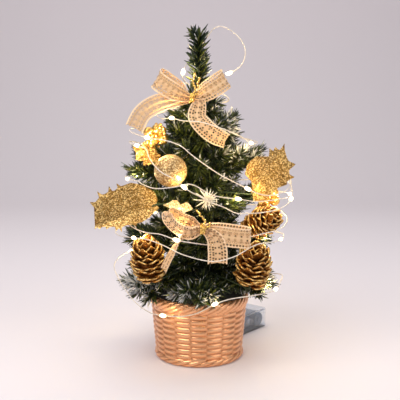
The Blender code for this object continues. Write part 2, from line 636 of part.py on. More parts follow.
def make_cones():
    """Closed cone bodies with a rounded butt and a blunt tip, on bent wire stems."""
    for name, (centre, length, radius, axis) in CONES.items():
        shares = ((0.5, 0.0), (0.47, 0.24), (0.36, 0.52), (0.16, 0.82), (-0.10, 1.0),
                  (-0.32, 0.88), (-0.45, 0.50), (-0.5, 0.0))
        cone = turned(name, [(radius * out, length * up) for up, out in shares], 12, CONE_COPPER)
        aim(cone, centre, axis)
        bpy.context.view_layer.update()
        butt = Vector(centre) - Vector(axis).normalized() * length * 0.5
        inside = Vector(centre) - Vector(axis).normalized() * length * 0.38
        root = root_of(centre) + Vector((0.0, 0.0, butt.z + 0.004))
        elbow = butt - Vector(axis).normalized() * 0.003
        cone = as_mesh(cone)
        cone.data.materials.append(CONE_COPPER)
        add_stem(cone, [root, root.lerp(elbow, 0.75), elbow, inside])


def make_berries():
    """Sprigs of round berries that touch each other, on one wire."""
    around = ((0.0, 0.0, 0.0), (-1.3, -0.5, 0.7), (0.2, -0.9, 1.2), (1.2, -0.4, -0.6),
              (-0.6, -0.8, -1.1), (0.9, -0.6, 0.9))
    for name, centre in BERRIES.items():
        bodies = []
        for k, offset in enumerate(around):
            shape = bmesh.new()
            bmesh.ops.create_uvsphere(shape, u_segments=8, v_segments=6, radius=BERRY_RADIUS)
            berry = mesh_object(name if k == 0 else f"{name}_berry_{k}", shape, BERRY_GOLD)
            turn = Matrix.Rotation(0.7 * k, 4, "Z")
            place = Vector(centre) + Vector(offset) * BERRY_RADIUS
            berry.matrix_world = Matrix.Translation(place) @ turn
            bodies.append(berry)
        points = stem_points(centre, centre[2] - 0.010)
        add_stem(bodies[0], points)
        for berry in bodies[1:]:
            combine(bodies[0], berry, "UNION")


def make_star():
    """A frosted burst: a ball of pointed spikes."""
    shape = bmesh.new()
    bmesh.ops.create_icosphere(shape, subdivisions=1, radius=STAR_RADIUS * 0.38)
    bmesh.ops.poke(shape, faces=shape.faces[:], offset=STAR_RADIUS * 0.62)
    star = mesh_object("frost_star", shape, FROST, smooth_angle=10)
    star.location = STAR_CENTRE
    add_stem(star, stem_points(STAR_CENTRE, STAR_CENTRE[2] - 0.002))


def box_block(name, low, high, finish, collection=None):
    """A block between two corners of the battery box's own frame, whose floor is at height 0."""
    low = Vector(low)
    high = Vector(high)
    shape = bmesh.new()
    bmesh.ops.create_cube(shape, size=1.0)
    bmesh.ops.scale(shape, vec=high - low, verts=shape.verts)
    bmesh.ops.translate(shape, vec=(low + high) / 2, verts=shape.verts)
    block = mesh_object(name, shape, finish, collection)
    block.matrix_world = box_matrix()
    return block


def box_matrix():
    return Matrix.Translation((*BOX_CENTRE, 0.0)) @ Matrix.Rotation(BOX_TURN, 4, "Z")


def cell_offsets():
    return [(k - 1) * CELL_PITCH for k in range(3)]


def make_battery_box():
    """An open tub with a cell bay under the sliding lid and a closed switch bay at its other end."""
    half_x, half_y, tall = BOX_SIZE[0] / 2, BOX_SIZE[1] / 2, BOX_SIZE[2]
    above = tall + 0.01
    bay_start = -half_x + BOX_WALL
    bay_end = bay_start + SWITCH_BAY
    cells_start = bay_end + BOX_WALL
    inner_y = half_y - BOX_WALL
    lid_low = tall - BOX_WALL
    groove = inner_y + LID_GROOVE
    case = box_block("battery_case", (-half_x, -half_y, 0.0), (half_x, half_y, tall), CLEAR_PLASTIC)
    round_edges(case, BOX_ROUNDING, 2)
    slot_start, slot_end, slot_half = SWITCH_SLOT
    lead_near, lead_far, lead_low, lead_high = LEAD_WAY
    wire_half, wire_low, wire_high = WIRE_WAY
    cuts = {
        "cell_bay": ((cells_start, -inner_y, BOX_WALL), (half_x - BOX_WALL, inner_y, above)),
        "lid_way": ((cells_start, -groove, lid_low - 2 * GAP), (half_x + 0.01, groove, above)),
        "switch_bay": ((bay_start, -inner_y, BOX_WALL), (bay_end, inner_y, lid_low)),
        "switch_slot": ((slot_start - half_x, -slot_half, lid_low - 0.002),
                        (slot_end - half_x, slot_half, above)),
        "lead_way": ((bay_end - 0.001, lead_near, lead_low),
                     (cells_start + 0.001, lead_far, lead_high)),
        "wire_way": ((-half_x - 0.01, -wire_half, wire_low),
                     (bay_start + 0.001, wire_half, wire_high)),
    }
    for name, (low, high) in cuts.items():
        combine(case, box_block(name, low, high, CLEAR_PLASTIC), "DIFFERENCE")
    lid = box_block("battery_cover", (cells_start + GAP, -groove + GAP, lid_low - GAP),
                    (half_x, groove - GAP, tall), CLEAR_PLASTIC)
    round_edges(lid, GAP, 1)
    knob_start, knob_end, knob_near, knob_far = KNOB
    knob = box_block("switch_knob", (knob_start - half_x, knob_near, lid_low - 0.0015),
                     (knob_end - half_x, knob_far, tall + 0.0015), SWITCH_BLACK)
    round_edges(knob, 0.0004, 1)
    box_block("circuit_board", (bay_start + 0.001, -BOARD_HALF_WIDTH, BOARD_LOW),
              (bay_end - 0.001, BOARD_HALF_WIDTH, BOARD_HIGH), BOARD_GREEN)
    gland_profile = [
        (0.0010, 0.0075), (0.0016, 0.0075), (0.0026, 0.0004), (0.0026, -0.0013), (0.0010, -0.0013),
        (0.0010, 0.0075),
    ]
    gland = turned("wire_gland", gland_profile, 12, CLEAR_PLASTIC)
    outward = Matrix.Rotation(-math.pi / 2, 4, "Y")
    gland.matrix_world = box_matrix() @ Matrix.Translation((-half_x, 0.0, GLAND_HEIGHT)) @ outward


def round_edges(piece, width, segments):
    edges = piece.modifiers.new("rounded", "BEVEL")
    edges.width = width
    edges.segments = segments


def make_cells():
    """Three cells side by side, each with a nub at one end and a coil spring at the other."""
    half_x = BOX_SIZE[0] / 2
    nub_radius, nub = CELL_NUB
    bay_start = -half_x + 2 * BOX_WALL + SWITCH_BAY
    bay_end = half_x - BOX_WALL
    height = BOX_WALL + CELL_RADIUS + GAP
    profile = [
        (0.0, CELL_LENGTH), (nub_radius, CELL_LENGTH), (nub_radius, CELL_LENGTH - nub),
        (CELL_RADIUS - CELL_EDGE, CELL_LENGTH - nub), (CELL_RADIUS, CELL_LENGTH - nub - CELL_EDGE),
        (CELL_RADIUS, CELL_EDGE), (CELL_RADIUS - CELL_EDGE, 0.0), (0.0, 0.0),
    ]
    for k, across in enumerate(cell_offsets(), start=1):
        facing = 1 if k % 2 else -1
        cell = turned(f"battery_{k}", profile, 16, CELL_SKIN)
        near, far = bay_start + CELL_EDGE, bay_end - CELL_EDGE
        foot = far - CELL_LENGTH if facing > 0 else near + CELL_LENGTH
        turn = Matrix.Rotation(facing * math.pi / 2, 4, "Y")
        cell.matrix_world = box_matrix() @ Matrix.Translation((foot, across, height)) @ turn
        wall = bay_start if facing > 0 else bay_end
        make_spring(k, wall, facing, across, height, bay_end - bay_start - CELL_LENGTH)


def make_spring(number, wall, facing, across, height, room):
    """A coil between the bay's wall and a cell, narrower at the cell."""
    steps = 8 * SPRING_TURNS
    length = room - 4 * CELL_EDGE
    points = []
    for step in range(steps + 1):
        share = step / steps
        wound = share * SPRING_TURNS * 2 * math.pi
        reach = SPRING_RADII[0] + (SPRING_RADII[1] - SPRING_RADII[0]) * share
        x = wall + facing * (CELL_EDGE + share * length)
        points.append((x, across + reach * math.cos(wound), height + reach * math.sin(wound)))
    spring = tube_curve(f"spring_{number}", points, SPRING_WIRE, SPRING_STEEL, 0)
    spring.matrix_world = box_matrix()


def make_light_wire():
    tube_curve("light_wire", smooth_route(LIGHT_ROUTE, WIRE_POINTS), WIRE_RADIUS, WIRE_CREAM)


def main():
    make_pot()
    make_filling()
    make_trunk()
    make_leader()
    make_branches()
    make_bows()
    make_leaves()
    make_ball()
    make_cones()
    make_berries()
    make_star()
    make_battery_box()
    make_cells()
    make_light_wire()


main()
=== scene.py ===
"""Looks of an artificial tabletop tree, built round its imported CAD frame.

Metres, +Z is up, -Y is the tree's front. Every visual piece rides the CAD body that it dresses.
"""

import math

import bmesh
import bpy
import numpy as np
from mathutils import Matrix, Vector
from mathutils.bvhtree import BVHTree


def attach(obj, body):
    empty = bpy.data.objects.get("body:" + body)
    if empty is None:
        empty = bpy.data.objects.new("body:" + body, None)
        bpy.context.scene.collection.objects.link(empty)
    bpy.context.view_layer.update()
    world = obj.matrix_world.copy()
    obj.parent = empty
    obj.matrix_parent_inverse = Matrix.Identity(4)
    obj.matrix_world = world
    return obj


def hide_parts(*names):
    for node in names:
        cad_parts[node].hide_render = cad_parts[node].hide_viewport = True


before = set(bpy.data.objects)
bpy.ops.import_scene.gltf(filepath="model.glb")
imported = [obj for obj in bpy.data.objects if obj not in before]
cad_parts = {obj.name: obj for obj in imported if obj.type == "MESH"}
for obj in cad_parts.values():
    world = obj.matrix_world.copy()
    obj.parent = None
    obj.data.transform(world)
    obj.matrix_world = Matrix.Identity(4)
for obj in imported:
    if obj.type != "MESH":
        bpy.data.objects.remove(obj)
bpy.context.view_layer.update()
GOLDEN_ANGLE = math.radians(137.508)

# camera and studio
CAMERA_PLACE = (0.0, -0.650, 0.237)
CAMERA_AIM = (0.0, 0.0, 0.1433)
CAMERA_LENS = 65.5
CAMERA_SHIFT = 0.0025
FLOOR_FRONT = 1.6
FLOOR_DEPTH = 0.9
WALL_HEIGHT = 2.2
SWEEP_RADIUS = 0.5
PAPER_COLOR = (0.815, 0.762, 0.785)
ROOM_COLOR = (0.80, 0.78, 0.82)
ROOM_STRENGTH = 0.38
LAMP_AIM = (0.0, 0.0, 0.12)
# name, place, size, power, colour
LAMPS = (
    ("key", (-0.55, -0.70, 0.95), 0.9, 9.0, (1.0, 0.98, 0.97)),
    ("fill", (0.80, -0.60, 0.60), 0.8, 3.0, (0.97, 0.98, 1.0)),
    ("top", (0.0, 0.25, 1.20), 1.2, 7.0, (1.0, 0.99, 0.98)),
)

# pot
POT_HEIGHT = 0.059
POT_TOP_RADIUS = 0.0445
POT_BASE_RADIUS = 0.0395
POT_WALL = 0.0022
WEAVE_COLUMNS = 18
WEAVE_PITCH = 0.0050
WEAVE_DEPTH = 0.0016
WEAVE_LOW = 0.0065
WEAVE_HIGH = 0.0490
# rope rings: radius, height, half thickness, half height, strands, lays round the pot
RIM_ROPE = (0.0424, 0.0536, 0.0030, 0.0054, 6, 36)
FOOT_ROPE = (0.0380, 0.0036, 0.0030, 0.0036, 4, 24)

# tree
TRUNK_LOW = 0.058
TRUNK_TOP = 0.238
WHORLS = (
    (0.068, 0.064, 7, (30, 90, 150, 207, 270, 333)),
    (0.098, 0.060, 15, (15, 68, 124, 180, 271, 338)),
    (0.129, 0.057, 21, (30, 88, 146, 200, 292)),
    (0.160, 0.050, 29, (0, 60, 122, 182)),
    (0.192, 0.036, 38, (20, 135, 320)),
)
BRANCH_ROOT = 0.0036
NEEDLE_WIDTH = 0.0015
LEADER_WIDTH = 0.0023
NEEDLE_LENGTH = 0.0120
NEEDLE_STATIONS = (0.0, 0.35, 0.72, 1.0)
NEEDLE_WIDTHS = (0.75, 1.0, 0.85, 0.2)
NEEDLES_PER_METRE = 6500
# side shoots: where on the branch, spread and drop in degrees, and share of its length
SIDE_SHOOTS = ((0.38, 40, 0.52, 0), (0.46, -38, 0.50, 0), (0.66, 30, 0.36, 0), (0.72, -32, 0.34, 0))
LOW_SHOOTS = ((0.50, 24, 0.42, 18), (0.56, -26, 0.40, 20), (0.74, 4, 0.30, 12))
LOW_TIER = 0.07
# how far each whorl's brushes run past the ends of their branches
BRUSH_OVERHANG = (-0.004, -0.004, -0.003, 0.006, -0.002)
# degrees between a shoot and its needles: at its root, near its tip and at its tip
NEEDLE_LEAN = (68, 48, 10)
LEADER_LEAN = (56, 58, 46)
EXTRA_SHOOTS = {
    "branch_4_4": (
        ((-0.018, -0.002, 0.163), (-0.058, -0.014, 0.172)),
        ((-0.020, 0.0, 0.165), (-0.056, 0.004, 0.167)),
    ),
}
# the upright top shoot and a small one that leans out of its tip: base, tip, needle length
LEADER_SHOOTS = (
    ((0.0, 0.0, TRUNK_TOP + 0.001), (0.0, 0.0, 0.2875), 0.0130),
    ((0.0, 0.0, 0.2830), (-0.0055, 0.0, 0.2915), 0.0085),
)
LEADER_NEEDLES_PER_METRE = 4400
INNER_SHOOTS = 60
INNER_HEIGHTS = (0.06, 0.15, 0.21, 0.238)
INNER_LENGTHS = (0.040, 0.034, 0.022, 0.006)
INNER_NEEDLES_PER_METRE = 5000
SHOOT_RADIUS = 0.0008
CLEAR_AHEAD = 0.030             # needles this far in front of an ornament are pressed away
CLEAR_ROUND = 0.0012

# patches of white flock on the needles: centre, radius, strength
SNOW_PATCHES = (
    ((0.044, -0.030, 0.205), 0.026, 1.0),
    ((0.036, -0.012, 0.225), 0.018, 1.0),
    ((0.040, -0.045, 0.180), 0.020, 1.0),
    ((-0.046, -0.035, 0.166), 0.012, 0.9),
    ((-0.058, -0.036, 0.074), 0.022, 1.0),
    ((0.070, -0.030, 0.088), 0.022, 1.0),
    ((-0.022, -0.068, 0.072), 0.012, 1.0),
    ((0.010, -0.074, 0.070), 0.010, 1.0),
    ((-0.005, -0.066, 0.138), 0.007, 1.0),
)
SNOW_EVERYWHERE = 0.07

# ornaments
BALL_CENTRE = (-0.0235, -0.0505, 0.1750)
BALL_RADIUS = 0.0136
CROWN_SIDES = 48
CROWN_FLUTES = 12
# radius, and height over the ball's surface
CROWN_PROFILE = (
    (0.0001, 0.0033), (0.0026, 0.0033), (0.0033, 0.0027), (0.0035, 0.0), (0.0034, -0.0006),
)
CONES = {
    "cone_left": ((-0.0425, -0.0520, 0.0985), 0.0350, 0.0145, (-0.10, -0.20, 1.0)),
    "cone_right": ((0.0455, -0.0500, 0.0930), 0.0350, 0.0150, (0.15, -0.25, 1.0)),
    "cone_side": ((0.0530, -0.0370, 0.1295), 0.0300, 0.0125, (0.80, -0.45, 0.45)),
}
CONE_SCALES = 76
SCALE_THICKNESS = 0.0011
SCALE_TILT = -6                 # degrees, at the butt
SCALE_TILT_GAIN = 72            # degrees more at the tip
# the core's girth from butt to tip, as shares of the cone's radius
CONE_CORE = (0.25, 0.5, 0.62, 0.66, 0.62, 0.54, 0.42, 0.26, 0.08)
BERRY_RADIUS = 0.0048
BEAD_RADII = (0.0014, 0.0022)
BEADS = 16
BERRIES = {
    "berries_left": (-0.0370, -0.0190, 0.2020),
    "berries_right": (0.0600, -0.0200, 0.1490),
}
BERRY_OFFSETS = (
    (0.0, 0.0, 0.0), (-1.3, -0.5, 0.7), (0.2, -0.9, 1.2),
    (1.2, -0.4, -0.6), (-0.6, -0.8, -1.1), (0.9, -0.6, 0.9),
)
STAR_CENTRE = (0.0070, -0.0590, 0.1515)
STAR_SPIKES = 34
STAR_REACH = 0.0105
LEAF_THICKNESS = 0.0005
LEAF_CREASE = 0.26              # how steeply a leaf rises from its midrib
LEAF_CUP = 5.0
LEAF_RIPPLE = 0.0007
LEAF_DROOP = 2.2
LEAF_ROWS = 130
LEAF_STEPS = 7
PALE_LEAVES = ("leaf_small",)
LEAVES = {
    "leaf_left": ((-0.036, -0.050, 0.1465), (-0.085, -0.062, 0.1300), (0.05, -1.0, 0.35)),
    "leaf_right": ((0.045, -0.043, 0.1560), (0.070, -0.048, 0.1950), (0.10, -1.0, 0.25)),
    "leaf_upper": ((-0.032, -0.014, 0.1780), (-0.058, -0.020, 0.1930), (-0.10, -1.0, 0.30)),
    "leaf_small": ((-0.0050, -0.0550, 0.1435), (-0.0290, -0.0570, 0.1475), (0.0, -1.0, 0.40)),
}
# each leaf's edge on either side of its midrib, base to tip: (along, out) in millimetres
LEAF_EDGES = {
    "leaf_left": (
        ((-3, -3), (-3, -10), (1, -15.5), (7, -20.5), (13, -24), (19, -24), (22, -24.3),
         (24.5, -28), (25, -23.8), (28, -22.6), (30, -23), (31, -28), (33.5, -23.2), (37, -22.6),
         (39, -23), (41.8, -27), (42, -21.6), (46, -19.2), (50.5, -21), (48.5, -16), (51, -8),
         (54, 1.4)),
        ((-2, 3.2), (3, 5.6), (9, 8.4), (16, 10), (20.6, 9.6), (22, 12), (24, 9.2), (30, 8),
         (33.5, 8.4), (34.5, 12.5), (35.5, 8), (38.6, 9.4), (38, 5.6), (42, 4.2), (45.6, 5.2),
         (44.6, 3), (48, 1.8), (50.4, 2.8), (52, 0.4), (54, 1.4)),
    ),
    "leaf_right": (
        ((-3, 0), (4, 3), (7.4, 6), (9.7, 14), (16.5, 16.4), (22, 16.6), (28, 14), (30.4, 9.6),
         (33, 5.6), (39, 9), (38.6, 4.8), (42.6, 5.6), (40.6, 1.6), (44, 0.6), (48.6, 0.6)),
        ((-6, -5), (-3, -12), (6, -14), (11, -13.2), (16, -15.6), (22, -20), (24, -18.4), (30.6, -21.6),
         (30, -17), (33, -14.6), (40, -16.4), (38.4, -11), (40.4, -7.4), (43.8, -3.2),
         (48.6, 0.6)),
    ),
    "leaf_upper": (
        ((2, -2), (6, -6), (8, -5), (14, -10), (16, -6.6), (23, -9), (25, -3.4), (30, 0)),
        ((2, 2), (6, 6), (8, 5), (14, 10), (16, 6.6), (23, 9), (25, 3.4), (30, 0)),
    ),
    "leaf_small": (
        ((2, -2.6), (6, -5), (8, -3.6), (11, -2.2), (14, -5.4), (18, -4.8), (20, -2.6), (25, 0)),
        ((2, 1.6), (5, 3), (7.6, 5), (9, 2.6), (14, 2.6), (17, 5), (19, 2), (25, 0)),
    ),
}

# lace bows: offset from the knot, how far the gathered ribbon has opened, the way across it
RIBBON_WIDTH = 0.016
RIBBON_THICKNESS = 0.0003
RIBBON_PINCH = 0.0042
RIBBON_PLEATS = 7
RIBBON_NOTCH = 0.0015
LACE_CELL = 0.0005
BOWS = {
    "top_bow": {
        "knot": (-0.0062, -0.0180, 0.2340),
        "run": (
            ((-0.048, -0.024, -0.025), 1.0, (-0.53, 0.10, 0.85)),
            ((-0.041, -0.019, -0.012), 1.0, (-0.56, 0.10, 0.82)),
            ((-0.029, -0.012, -0.004), 0.9, (-0.35, 0.10, 0.93)),
            ((-0.014, -0.004, -0.001), 0.5, (-0.10, 0.20, 1.00)),
            ((0.000, 0.0022, 0.000), 0.0, (0.0, 0.0, 1.0)),
            ((0.013, 0.008, 0.008), 0.7, (-0.4, 0.1, 0.9)),
            ((0.027, 0.005, 0.017), 1.0, (-0.5, 0.1, 0.9)),
            ((0.028, -0.004, 0.015), 1.0, (-0.5, 0.1, 0.9)),
            ((0.014, -0.009, 0.006), 0.8, (-0.4, 0.1, 0.9)),
            ((0.000, 0.000, 0.000), 0.0, (0.0, 0.0, 1.0)),
            ((-0.013, 0.008, 0.009), 0.7, (0.4, 0.1, 0.9)),
            ((-0.027, 0.004, 0.018), 1.0, (0.5, 0.1, 0.9)),
            ((-0.029, -0.006, 0.015), 1.0, (0.5, 0.1, 0.9)),
            ((-0.015, -0.010, 0.006), 0.8, (0.3, 0.1, 0.9)),
            ((0.000, -0.0022, 0.000), 0.0, (0.3, 0.0, 1.0)),
            ((0.006, -0.009, -0.003), 0.4, (0.9, 0.1, 0.4)),
            ((0.0045, -0.015, -0.0145), 0.9, (1.0, 0.1, 0.0)),
            ((0.010, -0.020, -0.0225), 1.0, (0.85, 0.0, 0.5)),
            ((0.019, -0.022, -0.030), 1.0, (0.62, -0.3, 0.75)),
            ((0.030, -0.023, -0.0355), 1.0, (0.55, -0.6, 0.55)),
        ),
    },
    "front_bow": {
        "knot": (0.0028, -0.0745, 0.1305),
        "run": (
            ((-0.032, -0.001, -0.034), 0.7, (0.45, -0.85, 0.10)),
            ((-0.025, 0.000, -0.020), 0.6, (0.45, -0.80, 0.10)),
            ((-0.016, 0.001, -0.007), 0.4, (0.30, -0.70, 0.60)),
            ((0.000, 0.0022, 0.000), 0.0, (0.0, 0.0, 1.0)),
            ((0.012, 0.006, -0.003), 0.7, (0.1, 0.1, 1.0)),
            ((0.035, 0.005, -0.0065), 1.0, (0.0, 0.1, 1.0)),
            ((0.037, -0.003, -0.0075), 1.0, (0.0, 0.1, 1.0)),
            ((0.018, -0.006, -0.005), 0.9, (0.1, 0.1, 1.0)),
            ((0.000, 0.000, 0.000), 0.0, (0.0, 0.0, 1.0)),
            ((-0.008, 0.003, 0.004), 0.5, (0.25, -0.45, 0.85)),
            ((-0.017, 0.002, 0.009), 0.9, (0.45, -0.72, 0.50)),
            ((-0.0255, 0.000, 0.0145), 1.0, (0.45, -0.75, 0.45)),
            ((-0.0285, -0.001, 0.0130), 1.0, (0.50, -0.75, 0.40)),
            ((-0.0265, -0.002, 0.0070), 1.0, (0.50, -0.75, 0.40)),
            ((-0.0190, -0.003, 0.0000), 0.9, (0.45, -0.72, 0.50)),
            ((-0.0095, -0.003, -0.0030), 0.5, (0.25, -0.45, 0.85)),
            ((0.000, -0.0022, 0.000), 0.0, (0.0, 0.0, 1.0)),
            ((0.009, -0.006, -0.006), 0.5, (0.8, 0.0, 0.5)),
            ((0.012, -0.007, -0.016), 0.9, (1.0, 0.0, 0.2)),
            ((0.012, -0.006, -0.028), 1.0, (1.0, 0.0, 0.1)),
        ),
    },
}
# the loose ends of each bow's tie, as offsets from its knot
TIE_ENDS = {
    "top_bow": (
        ((0.0, -0.005, 0.001), (0.003, -0.004, 0.008), (0.001, 0.002, 0.014), (0.003, 0.006, 0.022)),
        ((0.0, -0.005, 0.001), (0.006, -0.004, 0.006), (0.005, 0.002, 0.012), (0.007, 0.006, 0.018)),
    ),
    "front_bow": (
        ((0.0, -0.005, 0.001), (0.002, -0.005, 0.007), (-0.001, -0.003, 0.011), (-0.0045, 0.000, 0.015)),
        ((0.0, -0.005, 0.001), (0.005, -0.005, 0.003), (0.006, -0.004, 0.006)),
    ),
}
TIE_WIRE = 0.0008
TIE_COIL = 0.0040
TIE_COIL_TURNS = 5
TIE_CRINKLE = 0.00045

# light string
WIRE_RADIUS = 0.00042
WIRE_STEP = 0.004
DROP_RADIUS = 0.0016
DROP_LENGTH = 0.0064
DROP_RINGS = 11
DROP_SIDES = 12
DROP_POWER = 0.030
GLOW_COLOR = (1.0, 0.76, 0.36)
GLOW_INSET = 0.12               # share of a drop's radius that its light stands nearer the trunk
LIGHT_ROUTE = (
    (-0.0067, 0.1112, 0.01), (-0.013, 0.116, 0.0085), (-0.024, 0.117, 0.004), (-0.037, 0.111, 0.0012),
    (-0.045, 0.098, 0.005), (-0.044, 0.089, 0.018), (-0.038, 0.082, 0.034), (-0.028, 0.079, 0.048),
    (-0.01, 0.08, 0.056), (0.015, 0.078, 0.058), (0.04, 0.067, 0.06), (0.06, 0.048, 0.064),
    (0.073, 0.025, 0.069), (0.076, -0.001, 0.074), (0.072, -0.028, 0.076), (0.066, -0.042, 0.072),
    (0.059, -0.056, 0.073), (0.044, -0.07, 0.074), (0.026, -0.076, 0.073), (0.013, -0.077, 0.069),
    (0.005, -0.069, 0.062), (-0.003, -0.058, 0.055), (-0.013, -0.052, 0.051), (-0.023, -0.049, 0.05),
    (-0.031, -0.047, 0.05), (-0.042, -0.051, 0.054), (-0.054, -0.054, 0.064), (-0.064, -0.047, 0.075),
    (-0.072, -0.03, 0.082), (-0.077, -0.005, 0.084), (-0.075, 0.02, 0.086), (-0.065, 0.042, 0.088),
    (-0.045, 0.063, 0.091), (-0.02, 0.074, 0.094), (0.008, 0.077, 0.097), (0.035, 0.069, 0.101),
    (0.056, 0.052, 0.105), (0.069, 0.03, 0.109), (0.075, 0.005, 0.112), (0.075, -0.018, 0.114),
    (0.07, -0.038, 0.115), (0.062, -0.056, 0.116), (0.046, -0.072, 0.117), (0.028, -0.0845, 0.11),
    (0.01, -0.088, 0.107), (-0.012, -0.083, 0.111), (-0.03, -0.076, 0.118), (-0.043, -0.069, 0.121),
    (-0.054, -0.058, 0.12), (-0.068, -0.034, 0.117), (-0.075, -0.008, 0.116), (-0.073, 0.016, 0.118),
    (-0.063, 0.039, 0.12), (-0.043, 0.059, 0.123), (-0.016, 0.071, 0.126), (0.013, 0.072, 0.128),
    (0.039, 0.061, 0.13), (0.059, 0.043, 0.132), (0.071, 0.018, 0.133), (0.075, -0.008, 0.133),
    (0.076, -0.032, 0.131), (0.068, -0.054, 0.127), (0.05, -0.064, 0.124), (0.03, -0.063, 0.119),
    (0.012, -0.067, 0.116), (-0.004, -0.08, 0.12), (-0.018, -0.082, 0.123), (-0.031, -0.074, 0.126),
    (-0.043, -0.066, 0.126), (-0.056, -0.047, 0.127), (-0.068, -0.03, 0.134), (-0.073, -0.008, 0.135),
    (-0.07, 0.016, 0.136), (-0.059, 0.038, 0.138), (-0.037, 0.058, 0.14), (-0.01, 0.068, 0.142),
    (0.018, 0.067, 0.144), (0.043, 0.055, 0.146), (0.062, 0.034, 0.148), (0.075, 0.008, 0.15),
    (0.08, -0.016, 0.151), (0.076, -0.036, 0.151), (0.061, -0.048, 0.15), (0.046, -0.055, 0.15),
    (0.032, -0.062, 0.153), (0.02, -0.067, 0.155), (0.009, -0.0705, 0.158), (-0.006, -0.069, 0.166),
    (-0.019, -0.07, 0.164), (-0.035, -0.065, 0.162), (-0.047, -0.052, 0.164), (-0.052, -0.038, 0.165),
    (-0.062, -0.022, 0.165), (-0.0655, 0.0, 0.165), (-0.058, 0.028, 0.164), (-0.038, 0.05, 0.16),
    (-0.01, 0.062, 0.156), (0.02, 0.063, 0.154), (0.046, 0.05, 0.156), (0.064, 0.028, 0.159),
    (0.075, 0.002, 0.162), (0.08, -0.02, 0.16), (0.078, -0.04, 0.15), (0.068, -0.053, 0.144),
    (0.052, -0.057, 0.141), (0.04, -0.061, 0.141), (0.03, -0.066, 0.142), (0.021, -0.07, 0.147),
    (0.012, -0.072, 0.151), (-0.006, -0.073, 0.16), (-0.012, -0.072, 0.164), (-0.02, -0.075, 0.171),
    (-0.031, -0.074, 0.177), (-0.04, -0.062, 0.186), (-0.044, -0.047, 0.193), (-0.052, -0.038, 0.195),
    (-0.06, -0.022, 0.197), (-0.059, 0.0, 0.196), (-0.048, 0.024, 0.192), (-0.029, 0.045, 0.187),
    (-0.002, 0.055, 0.182), (0.026, 0.053, 0.177), (0.049, 0.04, 0.173), (0.065, 0.018, 0.17),
    (0.072, -0.006, 0.169), (0.079, -0.03, 0.164), (0.072, -0.049, 0.158), (0.058, -0.056, 0.155),
    (0.046, -0.059, 0.158), (0.04, -0.059, 0.161), (0.027, -0.064, 0.168), (0.016, -0.066, 0.174),
    (0.004, -0.064, 0.182), (-0.006, -0.061, 0.189), (-0.015, -0.056, 0.196), (-0.028, -0.049, 0.2),
    (-0.043, -0.043, 0.202), (-0.058, -0.027, 0.206), (-0.059, -0.008, 0.208), (-0.05, 0.012, 0.207),
    (-0.036, 0.031, 0.204), (-0.012, 0.044, 0.202), (0.014, 0.044, 0.2), (0.037, 0.031, 0.198),
    (0.05, 0.01, 0.196), (0.051, -0.014, 0.196), (0.044, -0.035, 0.197), (0.035, -0.043, 0.203),
    (0.021, -0.048, 0.209), (0.002, -0.049, 0.215), (-0.014, -0.043, 0.216), (-0.023, -0.035, 0.218),
    (-0.031, -0.022, 0.217), (-0.037, -0.006, 0.219), (-0.035, 0.012, 0.221), (-0.023, 0.027, 0.223),
    (-0.003, 0.033, 0.226), (0.016, 0.028, 0.229), (0.027, 0.013, 0.232), (0.023, 0.01, 0.237),
    (0.009, 0.018, 0.242), (-0.008, 0.014, 0.246), (-0.014, 0.002, 0.251), (-0.014, -0.007, 0.257),
    (-0.011, 0.002, 0.264), (-0.006, 0.01, 0.272), (0.003, 0.01, 0.282), (0.009, 0.006, 0.29),
    (0.013, 0.002, 0.295), (0.02, 0.0, 0.2965), (0.029, -0.001, 0.292), (0.0365, -0.001, 0.285),
    (0.0405, -0.001, 0.277), (0.04, -0.001, 0.269), (0.0365, -0.001, 0.262), (0.031, -0.002, 0.258),
    (0.0265, -0.003, 0.256),
)
# stops of the route that carry an LED drop; the last one ends the string
DROP_STOPS = (
    9, 15, 19, 24, 31, 35, 40, 48, 53, 58, 66, 73, 76, 80, 84, 92, 97, 102, 110, 115,
    120, 129, 136, 141, 146, 151, 156, 160, 163, 176,
)


# ---------------------------------------------------------------- materials

def principled(name, color, roughness, metallic=0.0, **settings):
    """A plain material: (material, its node tree, its shader)."""
    made = bpy.data.materials.new(name)
    made.use_nodes = True
    tree = made.node_tree
    shader = tree.nodes["Principled BSDF"]
    shader.inputs["Base Color"].default_value = (*color, 1.0)
    shader.inputs["Roughness"].default_value = roughness
    shader.inputs["Metallic"].default_value = metallic
    for socket, value in settings.items():
        shader.inputs[socket.replace("_", " ")].default_value = value
    return made, tree, shader


def node(tree, kind, **settings):
    """A new shader node with these settings."""
    made = tree.nodes.new(kind)
    for name, value in settings.items():
        setattr(made, name, value)
    return made


def ramp(tree, factor, *stops):
    """Colours along a factor: stops are (position, colour)."""
    made = node(tree, "ShaderNodeValToRGB")
    elements = made.color_ramp.elements
    while len(elements) < len(stops):
        elements.new(0.5)
    for element, (position, color) in zip(elements, stops):
        element.position = position
        element.color = (*color, 1.0)
    tree.links.new(factor, made.inputs["Fac"])
    return made.outputs["Color"]


def noise(tree, scale, detail=3.0):
    """Noise in the tree's own coordinates."""
    place = node(tree, "ShaderNodeTexCoord")
    made = node(tree, "ShaderNodeTexNoise")
    made.inputs["Scale"].default_value = scale
    made.inputs["Detail"].default_value = detail
    tree.links.new(place.outputs["Object"], made.inputs["Vector"])
    return made.outputs["Fac"]


def bump(tree, shader, height, strength, distance):
    """Fine relief on the surface, from a height."""
    made = node(tree, "ShaderNodeBump")
    made.inputs["Strength"].default_value = strength
    made.inputs["Distance"].default_value = distance
    tree.links.new(height, made.inputs["Height"])
    tree.links.new(made.outputs["Normal"], shader.inputs["Normal"])


def attribute(tree, name):
    """A number stored on the vertices."""
    return node(tree, "ShaderNodeAttribute", attribute_name=name).outputs["Fac"]


